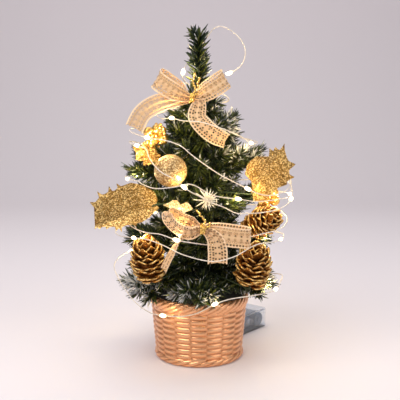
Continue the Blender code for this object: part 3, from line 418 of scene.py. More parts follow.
def flakes(tree, scale):
    """Two random numbers for every small cell: its brightness and its tilt."""
    place = node(tree, "ShaderNodeTexCoord")
    cells = node(tree, "ShaderNodeTexVoronoi")
    cells.inputs["Scale"].default_value = scale
    tree.links.new(place.outputs["Object"], cells.inputs["Vector"])
    split = node(tree, "ShaderNodeSeparateColor")
    tree.links.new(cells.outputs["Color"], split.inputs["Color"])
    return split.outputs["Red"], split.outputs["Green"]


def glitter_material(name, dark, middle, bright, grain, metallic):
    """Loose flakes stuck on a surface."""
    made, tree, shader = principled(name, middle, 0.38, metallic)
    brightness, tilt = flakes(tree, 1.0 / grain)
    color = ramp(tree, brightness, (0.0, dark), (0.55, middle), (0.93, bright))
    tree.links.new(color, shader.inputs["Base Color"])
    bump(tree, shader, tilt, 0.9, grain * 0.6)
    return made


def needle_material():
    """Dark green strips in a random tone each, the yellow-green top of it a painted glow of the LEDs; some
    white with flock.
    """
    made, tree, shader = principled("needles", (0.02, 0.06, 0.02), 0.42)
    shader.inputs["Specular IOR Level"].default_value = 0.38
    # a random tone for each needle; the top stop's yellow-green is painted LED glow
    green = ramp(
        tree, attribute(tree, "shade"),
        (0.0, (0.004, 0.010, 0.004)), (0.5, (0.012, 0.028, 0.009)), (1.0, (0.110, 0.130, 0.016)),
    )
    mix = node(tree, "ShaderNodeMix", data_type="RGBA")
    tree.links.new(attribute(tree, "snow"), mix.inputs["Factor"])
    tree.links.new(green, mix.inputs["A"])
    mix.inputs["B"].default_value = (0.84, 0.83, 0.80, 1.0)
    tree.links.new(mix.outputs["Result"], shader.inputs["Base Color"])
    return made


def lace_material():
    """Woven lace, with painted shade round its holes, and paler on its edges."""
    made, tree, shader = principled("gold_lace", (0.78, 0.56, 0.34), 0.55, 0.15)
    shader.inputs["Sheen Weight"].default_value = 0.4
    # a low band is painted shade round the holes
    color = ramp(
        tree, attribute(tree, "band"),
        (0.0, (0.26, 0.12, 0.035)), (0.5, (0.70, 0.43, 0.20)), (1.0, (0.94, 0.68, 0.42)),
    )
    tree.links.new(color, shader.inputs["Base Color"])
    bump(tree, shader, noise(tree, 1800.0), 0.6, 0.0003)
    return made


def cone_material():
    """Copper scales with random gold flakes, a painted highlight towards their rims, and painted shade on
    the core and the scales' undersides.
    """
    made, tree, shader = principled("cone_copper", (0.40, 0.20, 0.06), 0.34, 0.7)
    brightness, tilt = flakes(tree, 1300.0)
    # random flakes plus the edge share: painted highlight at the rims, painted shade where it is low
    flakes_and_rim_light = node(tree, "ShaderNodeMath", operation="MULTIPLY_ADD")
    flakes_and_rim_light.inputs[1].default_value = 0.6
    tree.links.new(brightness, flakes_and_rim_light.inputs[0])
    tree.links.new(attribute(tree, "edge"), flakes_and_rim_light.inputs[2])
    color = ramp(
        tree, flakes_and_rim_light.outputs["Value"],
        (0.20, (0.07, 0.020, 0.003)), (0.60, (0.38, 0.14, 0.018)), (0.95, (0.80, 0.40, 0.075)),
        (1.0, (1.0, 0.74, 0.30)),
    )
    tree.links.new(color, shader.inputs["Base Color"])
    bump(tree, shader, tilt, 0.9, 0.0005)
    return made


def pot_material():
    """Satin rose-gold plastic, with painted shade: darker in the grooves of its weave and ropes, on its
    underside and inside.
    """
    made, tree, shader = principled("rose_gold_plastic", (0.80, 0.44, 0.25), 0.26, 0.75)
    # low shares are painted shade: the grooves, the underside and the inside of the pot
    color = ramp(
        tree, attribute(tree, "relief_shade"),
        (0.0, (0.34, 0.12, 0.04)), (0.35, (0.68, 0.31, 0.14)), (1.0, (0.90, 0.48, 0.25)),
    )
    tree.links.new(color, shader.inputs["Base Color"])
    bump(tree, shader, noise(tree, 500.0), 0.12, 0.0004)
    return made


def rough_material(name, dark, light, roughness, scale, metallic=0.0):
    """A material with soft darker and lighter areas and a fine grain."""
    made, tree, shader = principled(name, light, roughness, metallic)
    factor = noise(tree, scale)
    tree.links.new(ramp(tree, factor, (0.35, dark), (0.7, light)), shader.inputs["Base Color"])
    bump(tree, shader, factor, 0.3, 0.0004)
    return made


def clear_plastic_material():
    """Thin clear plastic."""
    made, _, shader = principled("clear_plastic", (0.93, 0.96, 1.0), 0.12)
    shader.inputs["Transmission Weight"].default_value = 0.9
    shader.inputs["IOR"].default_value = 1.15
    return made


def drop_material():
    """A lit drop, white in its middle and warmer at its ends."""
    made, tree, shader = principled("led_drop", (1.0, 0.93, 0.80), 0.2)
    glow = ramp(tree, attribute(tree, "core"), (0.0, (0.55, 0.22, 0.05)), (0.6, (1.0, 0.80, 0.50)))
    tree.links.new(glow, shader.inputs["Emission Color"])
    shader.inputs["Emission Strength"].default_value = 5.0
    return made


NEEDLES = needle_material()
LACE = lace_material()
CONE = cone_material()
ROSE_GOLD = pot_material()
GOLD_GLITTER = glitter_material(
    "gold_glitter", (0.13, 0.058, 0.008), (0.46, 0.245, 0.052), (0.98, 0.70, 0.28), 0.0008, 0.6)
PALE_GLITTER = glitter_material(
    "pale_glitter", (0.50, 0.30, 0.10), (0.92, 0.68, 0.36), (1.0, 0.95, 0.72), 0.0008, 0.3)
CHAMPAGNE = glitter_material(
    "champagne_glitter", (0.24, 0.11, 0.03), (0.58, 0.33, 0.11), (1.0, 0.80, 0.42), 0.0008, 0.5)
FROST = glitter_material(
    "frost", (0.62, 0.52, 0.34), (0.90, 0.84, 0.68), (1.0, 1.0, 0.95), 0.0006, 0.0)
TWIG = rough_material("green_tape", (0.02, 0.035, 0.015), (0.05, 0.08, 0.03), 0.7, 700.0)
# the plaster weight, coloured dark grey: painted shade in the pot's mouth
PLASTER_IN_PAINTED_SHADE = rough_material("plaster", (0.07, 0.07, 0.06), (0.15, 0.14, 0.12), 0.9, 300.0)
BERRY = rough_material("berry_gold", (0.70, 0.40, 0.10), (0.90, 0.60, 0.20), 0.22, 400.0, 0.9)
TIE_GOLD = rough_material("gold_wire", (0.72, 0.44, 0.10), (0.98, 0.74, 0.26), 0.22, 900.0, 1.0)
WIRE = rough_material("wire_cream", (0.74, 0.63, 0.50), (0.95, 0.88, 0.78), 0.35, 500.0)
DROP = drop_material()
CLEAR = clear_plastic_material()
BOARD = rough_material("circuit_board", (0.01, 0.16, 0.06), (0.03, 0.26, 0.10), 0.5, 600.0)
BLACK = rough_material("switch_black", (0.015, 0.015, 0.015), (0.04, 0.04, 0.04), 0.5, 900.0)
SKIN = rough_material("cell_skin", (0.10, 0.13, 0.18), (0.16, 0.20, 0.27), 0.35, 60.0, 0.3)
STEEL = rough_material("spring_steel", (0.55, 0.55, 0.56), (0.78, 0.78, 0.80), 0.25, 800.0, 1.0)


# ---------------------------------------------------------------- mesh helpers

def link(made):
    """Puts a new object into the scene."""
    bpy.context.scene.collection.objects.link(made)
    return made


def mesh_from(name, vertices, faces, *finishes, smooth=True):
    """A new object of that name, with its materials."""
    mesh = bpy.data.meshes.new(name)
    mesh.from_pydata(np.asarray(vertices, float).reshape(-1, 3).tolist(), [], faces)
    for finish in finishes:
        mesh.materials.append(finish)
    if smooth:
        mesh.shade_smooth()
    return link(bpy.data.objects.new(name, mesh))


def object_from(name, shape, finish):
    """A new object of that name from a bmesh, which it frees."""
    mesh = bpy.data.meshes.new(name)
    shape.to_mesh(mesh)
    shape.free()
    mesh.materials.append(finish)
    return link(bpy.data.objects.new(name, mesh))


def store(made, name, values):
    """One number on each vertex, for the material to read."""
    held = made.data.attributes.new(name, "FLOAT", "POINT")
    held.data.foreach_set("value", np.asarray(values, np.float32))


def unit(vectors):
    """The same directions with length one."""
    vectors = np.asarray(vectors, float)
    return vectors / np.maximum(np.linalg.norm(vectors, axis=-1, keepdims=True), 1e-12)


def catmull(points, per_span):
    """Points on a smooth curve through the given ones, the same number on every span."""
    points = np.asarray(points, float)
    held = np.array([2 * points[0] - points[1], *points, 2 * points[-1] - points[-2]])
    t = (np.arange(per_span) / per_span)[:, None]
    spans = [
        0.5 * (2 * start + (end - before) * t
               + (2 * before - 5 * start + 4 * end - after) * t ** 2
               + (3 * start - before - 3 * end + after) * t ** 3)
        for before, start, end, after in zip(held, held[1:], held[2:], held[3:])
    ]
    return np.concatenate([*spans, points[-1:]])


def lengths_along(points):
    """How far along the line each of its points is."""
    return np.append(0.0, np.cumsum(np.linalg.norm(np.diff(points, axis=0), axis=1)))


def resample(points, count):
    """The same open line with evenly spaced points, its own corners kept near."""
    points = np.asarray(points, float)
    lengths = lengths_along(points)
    stops = np.linspace(0.0, lengths[-1], count)
    return np.stack([np.interp(stops, lengths, points[:, k]) for k in range(points.shape[1])], axis=1)


def along_line(points, step):
    """The same line with a point every step."""
    return resample(points, max(2, int(round(lengths_along(points)[-1] / step)) + 1))


def frames_along(points):
    """Headings and two sideways directions that turn as little as they can."""
    headings = unit(np.gradient(points, axis=0))
    side = np.cross(headings[0], (0.31, 0.17, 0.93))
    sides = []
    for heading in headings:
        side = unit(side - heading * (side @ heading))
        sides.append(side)
    sides = np.array(sides)
    return headings, sides, np.cross(headings, sides)


def capped_grid(rows, columns):
    """Faces of a grid whose columns close on themselves, with a lid on its first and last row."""
    faces = [
        (row * columns + k, row * columns + (k + 1) % columns,
         (row + 1) * columns + (k + 1) % columns, (row + 1) * columns + k)
        for row in range(rows - 1) for k in range(columns)
    ]
    faces.append(tuple(range(columns))[::-1])
    faces.append(tuple(range((rows - 1) * columns, rows * columns)))
    return faces


def tube(points, radii, count=8):
    """Vertices and faces of a round closed tube along a line."""
    points = np.asarray(points, float)
    radii = np.broadcast_to(np.asarray(radii, float), len(points))
    _, sides, ups = frames_along(points)
    turns = np.arange(count) * 2 * math.pi / count
    rings = points[:, None] + radii[:, None, None] * (
        sides[:, None] * np.cos(turns)[None, :, None] + ups[:, None] * np.sin(turns)[None, :, None])
    return rings.reshape(-1, 3), capped_grid(len(points), count)


def join_shapes(shapes):
    """Several (vertices, faces) as one."""
    vertices, faces, start = [], [], 0
    for part, links in shapes:
        vertices.append(part)
        faces.extend(tuple(start + k for k in face) for face in links)
        start += len(part)
    return np.concatenate(vertices), faces


def plate(grid, offset):
    """A closed thin plate: a grid of points, the same grid moved by an offset, and the rim between."""
    rows, columns = grid.shape[:2]
    count = rows * columns
    faces = []
    for row in range(rows - 1):
        for column in range(columns - 1):
            a = row * columns + column
            faces.append((a, a + columns, a + columns + 1, a + 1))
            faces.append((count + a, count + a + 1, count + a + columns + 1, count + a + columns))
    ring = list(range(columns))
    ring += [row * columns + columns - 1 for row in range(1, rows)]
    ring += [(rows - 1) * columns + column for column in range(columns - 2, -1, -1)]
    ring += [row * columns for row in range(rows - 2, 0, -1)]
    for first, second in zip(ring, ring[1:] + ring[:1]):
        faces.append((first, second, count + second, count + first))
    points = np.concatenate([grid.reshape(-1, 3), (grid + np.asarray(offset)).reshape(-1, 3)])
    return points, faces


def turn_to(direction):
    """A rotation that takes +Z to a direction, as a 3 by 3 array."""
    return np.array(Vector(direction).to_track_quat("Z", "Y").to_matrix())


def root_of(place, height):
    """Where the wire of a pick at this place leaves the trunk, at this height."""
    outward = unit((place[0], place[1], 0.0))
    return outward * BRANCH_ROOT + np.array((0.0, 0.0, height))


# ---------------------------------------------------------------- camera and studio

def make_camera():
    """The photographer's view, a little above the tree and looking down at it."""
    data = bpy.data.cameras.new("camera")
    data.lens = CAMERA_LENS
    data.sensor_width = 36.0
    data.shift_x = CAMERA_SHIFT
    data.clip_start = 0.01
    camera = link(bpy.data.objects.new("camera", data))
    aim = Vector(CAMERA_AIM) - Vector(CAMERA_PLACE)
    camera.location = CAMERA_PLACE
    camera.rotation_euler = aim.to_track_quat("-Z", "Y").to_euler()
    bpy.context.scene.camera = camera


def make_studio():
    """A pale paper sweep, large soft lamps and a pale room round them."""
    bend = [math.pi / 2 * k / 12 for k in range(13)]
    profile = [(-FLOOR_FRONT, 0.0)]
    profile += [
        (FLOOR_DEPTH + SWEEP_RADIUS * math.sin(a), SWEEP_RADIUS - SWEEP_RADIUS * math.cos(a))
        for a in bend
    ]
    profile.append((FLOOR_DEPTH + SWEEP_RADIUS, WALL_HEIGHT))
    vertices = [(x, y, z) for y, z in profile for x in (-2.5, 2.5)]
    faces = [(2 * k, 2 * k + 1, 2 * k + 3, 2 * k + 2) for k in range(len(profile) - 1)]
    paper, _, _ = principled("paper", PAPER_COLOR, 0.9)
    mesh_from("floor", vertices, faces, paper)
    for name, place, size, power, color in LAMPS:
        data = bpy.data.lights.new(name, "AREA")
        data.size = size
        data.energy = power
        data.color = color
        lamp = link(bpy.data.objects.new(name, data))
        lamp.location = place
        aim = Vector(LAMP_AIM) - Vector(place)
        lamp.rotation_euler = aim.to_track_quat("-Z", "Y").to_euler()
    world = bpy.data.worlds.new("room")
    world.use_nodes = True
    background = world.node_tree.nodes["Background"]
    background.inputs["Color"].default_value = (*ROOM_COLOR, 1.0)
    background.inputs["Strength"].default_value = ROOM_STRENGTH
    bpy.context.scene.world = world
    bpy.context.scene.view_settings.view_transform = "Standard"


# ---------------------------------------------------------------- light string

def make_wire():
    """The wire along its whole route."""
    line = along_line(catmull(LIGHT_ROUTE, 12), WIRE_STEP)
    data = bpy.data.curves.new("light_string", "CURVE")
    data.dimensions = "3D"
    data.bevel_depth = WIRE_RADIUS
    data.bevel_resolution = 2
    data.use_fill_caps = True
    spline = data.splines.new("POLY")
    spline.points.add(len(line) - 1)
    for point, place in zip(spline.points, line):
        point.co = (*place, 1.0)
    data.materials.append(WIRE)
    wire = link(bpy.data.objects.new("light_string", data))
    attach(wire, "root")
    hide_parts("light_wire")
    return wire


def drop_shape(stop):
    """An LED drop moulded round the wire, pointed at both ends."""
    place = np.array(LIGHT_ROUTE[stop])
    after = np.array(LIGHT_ROUTE[min(stop + 1, len(LIGHT_ROUTE) - 1)])
    heading = unit(after - np.array(LIGHT_ROUTE[stop - 1]))
    shares = np.linspace(-1.0, 1.0, DROP_RINGS)
    spine = place + heading * shares[:, None] * DROP_LENGTH / 2
    swell = DROP_RADIUS * np.sqrt(np.clip(1.0 - shares ** 2, 0.0, 1.0))
    return tube(spine, np.maximum(swell, WIRE_RADIUS * 0.8), DROP_SIDES)


def make_glow(stop):
    """The light of one drop. It stands a little nearer the trunk, to light the needles behind."""
    place = np.array(LIGHT_ROUTE[stop])
    inset = GLOW_INSET if place[2] > LOW_TIER else 0.0
    data = bpy.data.lights.new(f"glow_{stop}", "POINT")
    data.color = GLOW_COLOR
    data.shadow_soft_size = DROP_RADIUS
    data.energy = DROP_POWER if inset else DROP_POWER / 2
    lamp = link(bpy.data.objects.new(f"glow_{stop}", data))
    lamp.location = place * np.array((1.0 - inset, 1.0 - inset, 1.0))


def make_light_string():
    """The wound string: its wire, its drops and their light."""
    wire = make_wire()
    for stop in DROP_STOPS:
        make_glow(stop)
    drops = mesh_from("led_drops", *join_shapes([drop_shape(stop) for stop in DROP_STOPS]), DROP)
    middle = np.sin(math.pi * np.linspace(0.0, 1.0, DROP_RINGS))
    store(drops, "core", np.tile(np.repeat(middle, DROP_SIDES), len(DROP_STOPS)))
    drops.visible_shadow = False
    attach(drops, "root")


# ---------------------------------------------------------------- pot and trunk

def weave_height(column_share, row_share):
    """How far one flat strand of the weave stands out: 0 in its grooves, 1 on its face."""
    across = np.clip(np.sin(math.pi * column_share), 0.0, 1.0) ** 0.35
    up = np.clip(np.sin(math.pi * row_share), 0.0, 1.0) ** 0.55
    return (0.45 + 0.55 * across) * up


def pot_rings(turns):
    """Radii, heights and painted-shade shares from the underside, up the woven wall and down the inside: on
    the wall the share is how far the weave stands out, while the underside and inside get a low fixed share
    that paints them darker.
    """
    shares = turns * WEAVE_COLUMNS / (2 * math.pi)
    plain = np.ones(len(turns))
    inner_top = POT_TOP_RADIUS - POT_WALL
    inner_base = POT_BASE_RADIUS - POT_WALL
    under = ((0.0005, 0.0), (POT_BASE_RADIUS - 0.003, 0.0), (POT_BASE_RADIUS - 0.0012, 0.0012))
    inside = (
        (POT_TOP_RADIUS - 0.0008, 0.0550), (POT_TOP_RADIUS - 0.0010, POT_HEIGHT - 0.0006),
        (inner_top, POT_HEIGHT - 0.0006), (inner_base, POT_WALL), (0.0005, POT_WALL),
    )
    # the underside's low share paints it darker: painted shade
    rings = [(radius * plain, height * plain, 0.4 * plain) for radius, height in under]
    for height in np.linspace(WEAVE_LOW - 0.003, WEAVE_HIGH + 0.002, 110):
        wall = POT_BASE_RADIUS + (POT_TOP_RADIUS - POT_BASE_RADIUS) * height / POT_HEIGHT
        rows = (height - WEAVE_LOW) / WEAVE_PITCH + 0.5 * (np.floor(shares) % 2)
        up = weave_height(shares % 1.0, rows % 1.0)
        ends = min(height - WEAVE_LOW + 0.003, WEAVE_HIGH + 0.002 - height) / 0.002
        fade = np.clip(ends, 0.0, 1.0)
        # the same share that shapes the weave darkens its grooves: painted shade
        rings.append((wall - 0.0014 + WEAVE_DEPTH * up * fade, height * plain, up))
    # the inside's low share paints it darker: painted shade
    rings += [(radius * plain, height * plain, 0.3 * plain) for radius, height in inside]
    return rings


def make_pot():
    """Woven wall, twisted ropes at rim and foot, and a plain inside, as one moulding."""
    columns = WEAVE_COLUMNS * 14
    turns = np.arange(columns) * 2 * math.pi / columns
    rings = pot_rings(turns)
    vertices = np.array([
        np.stack([radii * np.cos(turns), radii * np.sin(turns), levels], axis=1)
        for radii, levels, _ in rings
    ])
    parts = [(vertices.reshape(-1, 3), capped_grid(len(rings), columns))]
    shade = [np.concatenate([relief_shade for _, _, relief_shade in rings])]
    for rope_parts in (RIM_ROPE, FOOT_ROPE):
        rope, lift = twisted_rope(*rope_parts)
        parts.append(rope)
        shade.append(lift)
    pot = mesh_from("woven_pot", *join_shapes(parts), ROSE_GOLD)
    # these shares darken the colour where shade falls: painted shade
    store(pot, "relief_shade", np.concatenate(shade))
    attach(pot, "root")
    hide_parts("basket_pot")


def twisted_rope(radius, height, half_thick, half_tall, strands, lays):
    """A ring of flattened rope whose strands climb slantwise round it."""
    around, section = lays * 10, 40
    turn = (np.arange(around) * 2 * math.pi / around)[:, None]
    angle = (np.arange(section) * 2 * math.pi / section)[None, :]
    # lift shapes the strands, and the pot's colour reads it to paint shade between them
    lift = np.abs(np.sin(0.5 * (strands * angle - lays * turn))) ** 0.55
    girth = 0.74 + 0.26 * lift
    reach = radius + half_thick * girth * np.cos(angle)
    vertices = np.stack([
        reach * np.cos(turn), reach * np.sin(turn),
        height + half_tall * girth * np.sin(angle) + 0.0 * turn,
    ], axis=2)
    faces = []
    for row in range(around):
        after = (row + 1) % around
        for k in range(section):
            side = (k + 1) % section
            faces.append((row * section + k, after * section + k,
                          after * section + side, row * section + side))
    return (vertices.reshape(-1, 3), faces), lift.reshape(-1)


# ---------------------------------------------------------------- needles

def snow_at(points):
    """How much flock lies at each point."""
    points = np.asarray(points, float)
    weight = np.full(len(points), SNOW_EVERYWHERE)
    for centre, radius, strength in SNOW_PATCHES:
        away = np.linalg.norm(points - np.array(centre), axis=1) / radius
        weight = np.maximum(weight, strength * np.exp(-away ** 2))
    return weight


def needle_shape(roots, headings, lengths, widths, bends, rng):
    """Closed folded strips, one for each root, with the number of points that each has."""
    count = len(roots)
    stations = np.array(NEEDLE_STATIONS)
    halves = widths[:, None] / 2 * np.array(NEEDLE_WIDTHS)
    side = unit(np.cross(headings, rng.normal(size=(count, 3))))
    up = np.cross(side, headings)
    reach = lengths[:, None] * stations
    centre = roots[:, None] + headings[:, None] * reach[:, :, None]
    centre = centre + bends[:, None] * (lengths[:, None] * stations ** 2)[:, :, None]
    points = np.stack([
        centre - side[:, None] * halves[:, :, None],
        centre + side[:, None] * halves[:, :, None],
        centre + up[:, None] * halves[:, :, None] * 0.45,
    ], axis=2)
    pattern = []
    rows = len(stations)
    for row in range(rows - 1):
        for k in range(3):
            after = (k + 1) % 3
            pattern.append((3 * row + k, 3 * row + after, 3 * row + 3 + after, 3 * row + 3 + k))
    pattern.append((0, 2, 1))
    pattern.append((3 * rows - 3, 3 * rows - 2, 3 * rows - 1))
    size = 3 * rows
    faces = [tuple(n * size + k for k in face) for n in range(count) for face in pattern]
    return points.reshape(-1, 3), faces, size


def pressed_away(ornaments, roots, headings, lengths):
    """True for each needle that would stand in front of an ornament or run through it."""
    hidden = np.zeros(len(roots), bool)
    for share in (0.35, 0.7, 1.0):
        points = roots + headings * (lengths * share)[:, None]
        for k, point in enumerate(points):
            if hidden[k]:
                continue
            place = Vector(point)
            ahead = ornaments.ray_cast(place, Vector((0.0, 1.0, 0.0)), CLEAR_AHEAD)[0]
            beside = ornaments.find_nearest(place, CLEAR_ROUND)[0]
            hidden[k] = ahead is not None or beside is not None
    return hidden


def shoot_needles(base, tip, per_metre, reach, lean_by, rng):
    """Roots, headings, lengths and how near the tip, for the needles of one shoot."""
    base, tip = np.array(base, float), np.array(tip, float)
    long = np.linalg.norm(tip - base)
    heading = (tip - base) / long
    count = max(8, int(per_metre * long))
    shares = (np.arange(count) + rng.random(count)) / count
    angles = np.arange(count) * GOLDEN_ANGLE + rng.normal(0.0, 0.4, count)
    side = unit(np.cross(heading, (0.13, 0.21, 0.97)))
    up = np.cross(heading, side)
    outward = side * np.cos(angles)[:, None] + up * np.sin(angles)[:, None]
    lean = np.radians(np.interp(shares, (0.0, 0.8, 1.0), lean_by) + rng.normal(0.0, 9.0, count))
    headings = heading * np.cos(lean)[:, None] + outward * np.sin(lean)[:, None]
    lengths = reach * rng.uniform(0.78, 1.12, count) * np.interp(shares, (0, 0.5, 1), (0.8, 1.0, 0.85))
    roots = base + heading * (shares * long)[:, None]
    return roots, headings, lengths, shares


def make_brush(name, shoots, ornaments, rng, body, replaced=(), width=NEEDLE_WIDTH):
    """A brush of needles on its twigs: shoots are (base, tip, needles per metre, needle length, leans)."""
    gathered = [shoot_needles(*shoot, rng) for shoot in shoots]
    roots, headings, lengths, shares = (np.concatenate(part) for part in zip(*gathered))
    keep = ~pressed_away(ornaments, roots, headings, lengths)
    roots, headings, lengths, shares = roots[keep], headings[keep], lengths[keep], shares[keep]
    count = len(roots)
    widths = width * rng.uniform(0.8, 1.15, count)
    bends = rng.normal(0.0, 0.14, (count, 3)) + np.array((0.0, 0.0, 0.06))
    points, faces, size = needle_shape(roots, headings, lengths, widths, bends, rng)
    tips = roots + headings * lengths[:, None]
    flock = snow_at(tips) * np.interp(shares, (0.0, 0.6, 1.0), (0.5, 0.9, 1.0))
    white = rng.random(count) < flock
    along = np.repeat(np.interp(NEEDLE_STATIONS, (0.0, 0.35, 0.7, 1.0), (0.0, 0.55, 1.0, 1.0)), 3)
    snow = (white * rng.uniform(0.6, 1.0, count))[:, None] * along[None, :]
    # a random tone for each needle, whose highest values the material paints as LED glow
    shade = np.repeat(rng.random(count), size)
    twigs = [tube((base, tip), (SHOOT_RADIUS, SHOOT_RADIUS * 0.5), 6) for base, tip, *_ in shoots]
    twig_points, twig_faces = join_shapes(twigs)
    brush = mesh_from(name, *join_shapes([(points, faces), (twig_points, twig_faces)]), NEEDLES, TWIG)
    for polygon in brush.data.polygons[len(faces):]:
        polygon.material_index = 1
    rest = np.zeros(len(twig_points))
    store(brush, "snow", np.concatenate([snow.reshape(-1), rest]))
    store(brush, "shade", np.concatenate([shade, rest]))
    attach(brush, body)
    if replaced:
        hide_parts(*replaced)


def branch_shoots(height, length, rise, angle, overhang, rng):
    """The main shoot of a branch and the side shoots that fan out of it."""
    turn, lift = math.radians(angle), math.radians(rise)
    heading = np.array((math.cos(turn) * math.cos(lift), math.sin(turn) * math.cos(lift), math.sin(lift)))
    root = np.array((math.cos(turn) * BRANCH_ROOT, math.sin(turn) * BRANCH_ROOT, height))
    tip = root + heading * (length + overhang)
    shoots = [(root, tip, NEEDLES_PER_METRE, NEEDLE_LENGTH, NEEDLE_LEAN)]
    for share, spread, size, drop in SIDE_SHOOTS + (LOW_SHOOTS if height < LOW_TIER else ()):
        yaw = turn + math.radians(spread + rng.normal(0.0, 6.0))
        pitch = lift + math.radians(rng.normal(-2.0, 12.0) - drop)
        way = np.array((math.cos(yaw) * math.cos(pitch), math.sin(yaw) * math.cos(pitch), math.sin(pitch)))
        start = root + heading * length * share
        end = start + way * (length * size + overhang / 2)
        shoots.append((start, end, NEEDLES_PER_METRE, NEEDLE_LENGTH * 0.9, NEEDLE_LEAN))
    return shoots


def trunk_shoots():
    """Short shoots wound up the trunk, which fill the tree's inside."""
    shoots = []
    for step in range(INNER_SHOOTS):
        level = TRUNK_LOW + (TRUNK_TOP - TRUNK_LOW) * (step + 0.5) / INNER_SHOOTS
        angle = step * GOLDEN_ANGLE
        long = np.interp(level, INNER_HEIGHTS, INNER_LENGTHS)
        way = unit((math.cos(angle), math.sin(angle), 0.35))
        base = np.array((0.0, 0.0, level)) + way * 0.0022
        shoots.append((base, base + way * long, INNER_NEEDLES_PER_METRE, NEEDLE_LENGTH, NEEDLE_LEAN))
    return shoots


def make_needles(ornaments):
    """A brush for every branch, for the leader and for the inside of the tree."""
    rng = np.random.default_rng(20)
    for tier, (height, length, rise, angles) in enumerate(WHORLS, start=1):
        for place, angle in enumerate(angles, start=1):
            name = f"branch_{tier}_{place}"
            shoots = branch_shoots(height, length, rise, angle, BRUSH_OVERHANG[tier - 1], rng)
            for base, tip in EXTRA_SHOOTS.get(name, ()):
                shoots.append((base, tip, NEEDLES_PER_METRE, NEEDLE_LENGTH, NEEDLE_LEAN))
            make_brush(f"needles_{tier}_{place}", shoots, ornaments, rng, name, (name,))
    leader = [
        (base, tip, LEADER_NEEDLES_PER_METRE, long, LEADER_LEAN) for base, tip, long in LEADER_SHOOTS
    ]
    make_brush("leader_needles", leader, ornaments, rng, "leader_tip", ("leader_tip",), LEADER_WIDTH)
    make_brush("inner_needles", trunk_shoots(), ornaments, rng, "root")


# ---------------------------------------------------------------- bows

def ribbon_frame(bow):
    """The ribbon's middle line, how far it has opened and the way across it, every lace cell."""
    knot = np.array(bow["knot"])
    line = catmull([knot + np.array(stop[0]) for stop in bow["run"]], 24)
    marks = np.arange(len(bow["run"]))
    at = np.arange(len(line)) / 24
    opened = np.interp(at, marks, [stop[1] for stop in bow["run"]])
    ways = np.array([stop[2] for stop in bow["run"]])
    across = np.stack([np.interp(at, marks, ways[:, k]) for k in range(3)], axis=1)
    lengths = lengths_along(line)
    stops = np.arange(0.0, lengths[-1], LACE_CELL)
    values = np.concatenate([line, opened[:, None], across], axis=1)
    values = np.stack([np.interp(stops, lengths, values[:, k]) for k in range(7)], axis=1)
    line, opened, across = values[:, :3], values[:, 3], values[:, 4:]
    headings = unit(np.gradient(line, axis=0))
    across = unit(across - headings * (across * headings).sum(axis=1, keepdims=True))
    return line, opened, across, np.cross(headings, across), lengths[-1]


def lace_hole(row, column, columns):
    """True where the lace pattern leaves a hole in the cell."""
    edge = min(column, columns - 1 - column)
    if edge in (3, 4):
        return row % 5 in (0, 1)
    if edge in (8, 9):
        return row % 10 in (2, 3, 6, 7)
    if edge in (12, 13):
        return row % 10 in (4, 5)
    if edge in (16, 17):
        return row % 10 in (0, 1, 8, 9)
    return edge in (18, 19) and row % 10 in (4, 5)


def lace_band(row, column, columns):
    """How pale the lace is at a vertex: 0 round its holes, which paints shade there, most on its edges."""
    beside = [(r, c) for r in (row - 1, row) for c in (column - 1, column) if r >= 0 and 0 <= c < columns]
    if any(lace_hole(r, c, columns) for r, c in beside):
        return 0.0
    return 1.0 if min(column, columns - column) < 4 else 0.65


def ribbon_points(line, opened, across, normal, shares):
    """The gathered ribbon as a grid: pleats at the knot open out into flat loops and tails."""
    spread = np.sin(opened * math.pi / 2)
    widths = RIBBON_PINCH + (RIBBON_WIDTH - RIBBON_PINCH) * spread
    pleat = RIBBON_WIDTH / RIBBON_PLEATS
    folds = np.sqrt(np.maximum(pleat ** 2 - (widths / RIBBON_PLEATS) ** 2, 0.0))
    folds = np.maximum(folds, 0.0005 * spread)
    wave = np.cos(math.pi * RIBBON_PLEATS * shares)
    points = (line[:, None] + across[:, None] * (widths[:, None] * (shares - 0.5))[:, :, None]
              + normal[:, None] * (folds[:, None] / 2 * wave)[:, :, None])
    notch = RIBBON_NOTCH * (1.0 - np.abs(2.0 * shares - 1.0))
    along = np.linspace(0.0, 1.0, len(line))[:, None]
    reach = notch * (1.0 - along * 12).clip(0.0, 1.0) - notch * (along * 12 - 11).clip(0.0, 1.0)
    headings = np.cross(across, normal)
    return points + headings[:, None] * reach[:, :, None]


def open_lace(ribbon):
    """Clears what the holes leave behind, rounds their corners and gives the lace its thickness."""
    shape = bmesh.new()
    shape.from_mesh(ribbon.data)
    bmesh.ops.delete(shape, geom=[v for v in shape.verts if not v.link_faces], context="VERTS")
    rims = [v for v in shape.verts if v.is_boundary]
    bmesh.ops.smooth_vert(shape, verts=rims, factor=0.4, use_axis_x=True, use_axis_y=True, use_axis_z=True)
    shape.to_mesh(ribbon.data)
    shape.free()
    thick = ribbon.modifiers.new("thickness", "SOLIDIFY")
    thick.thickness = RIBBON_THICKNESS
    thick.offset = 0.0


def make_ribbon(name, bow):
    """One lace ribbon, gathered at its knot."""
    line, opened, across, normal, length = ribbon_frame(bow)
    columns = int(round(RIBBON_WIDTH / LACE_CELL))
    wide = columns + 1
    points = ribbon_points(line, opened, across, normal, np.linspace(0.0, 1.0, wide))
    faces = [
        (row * wide + k, row * wide + k + 1, (row + 1) * wide + k + 1, (row + 1) * wide + k)
        for row in range(len(line) - 1) for k in range(columns)
        if not lace_hole(row, k, columns)
    ]
    ribbon = mesh_from(name + "_ribbon", points, faces, LACE)
    store(ribbon, "band", [lace_band(row, k, columns) for row in range(len(line)) for k in range(wide)])
    open_lace(ribbon)
    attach(ribbon, "root")
    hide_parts(name)
    return ribbon


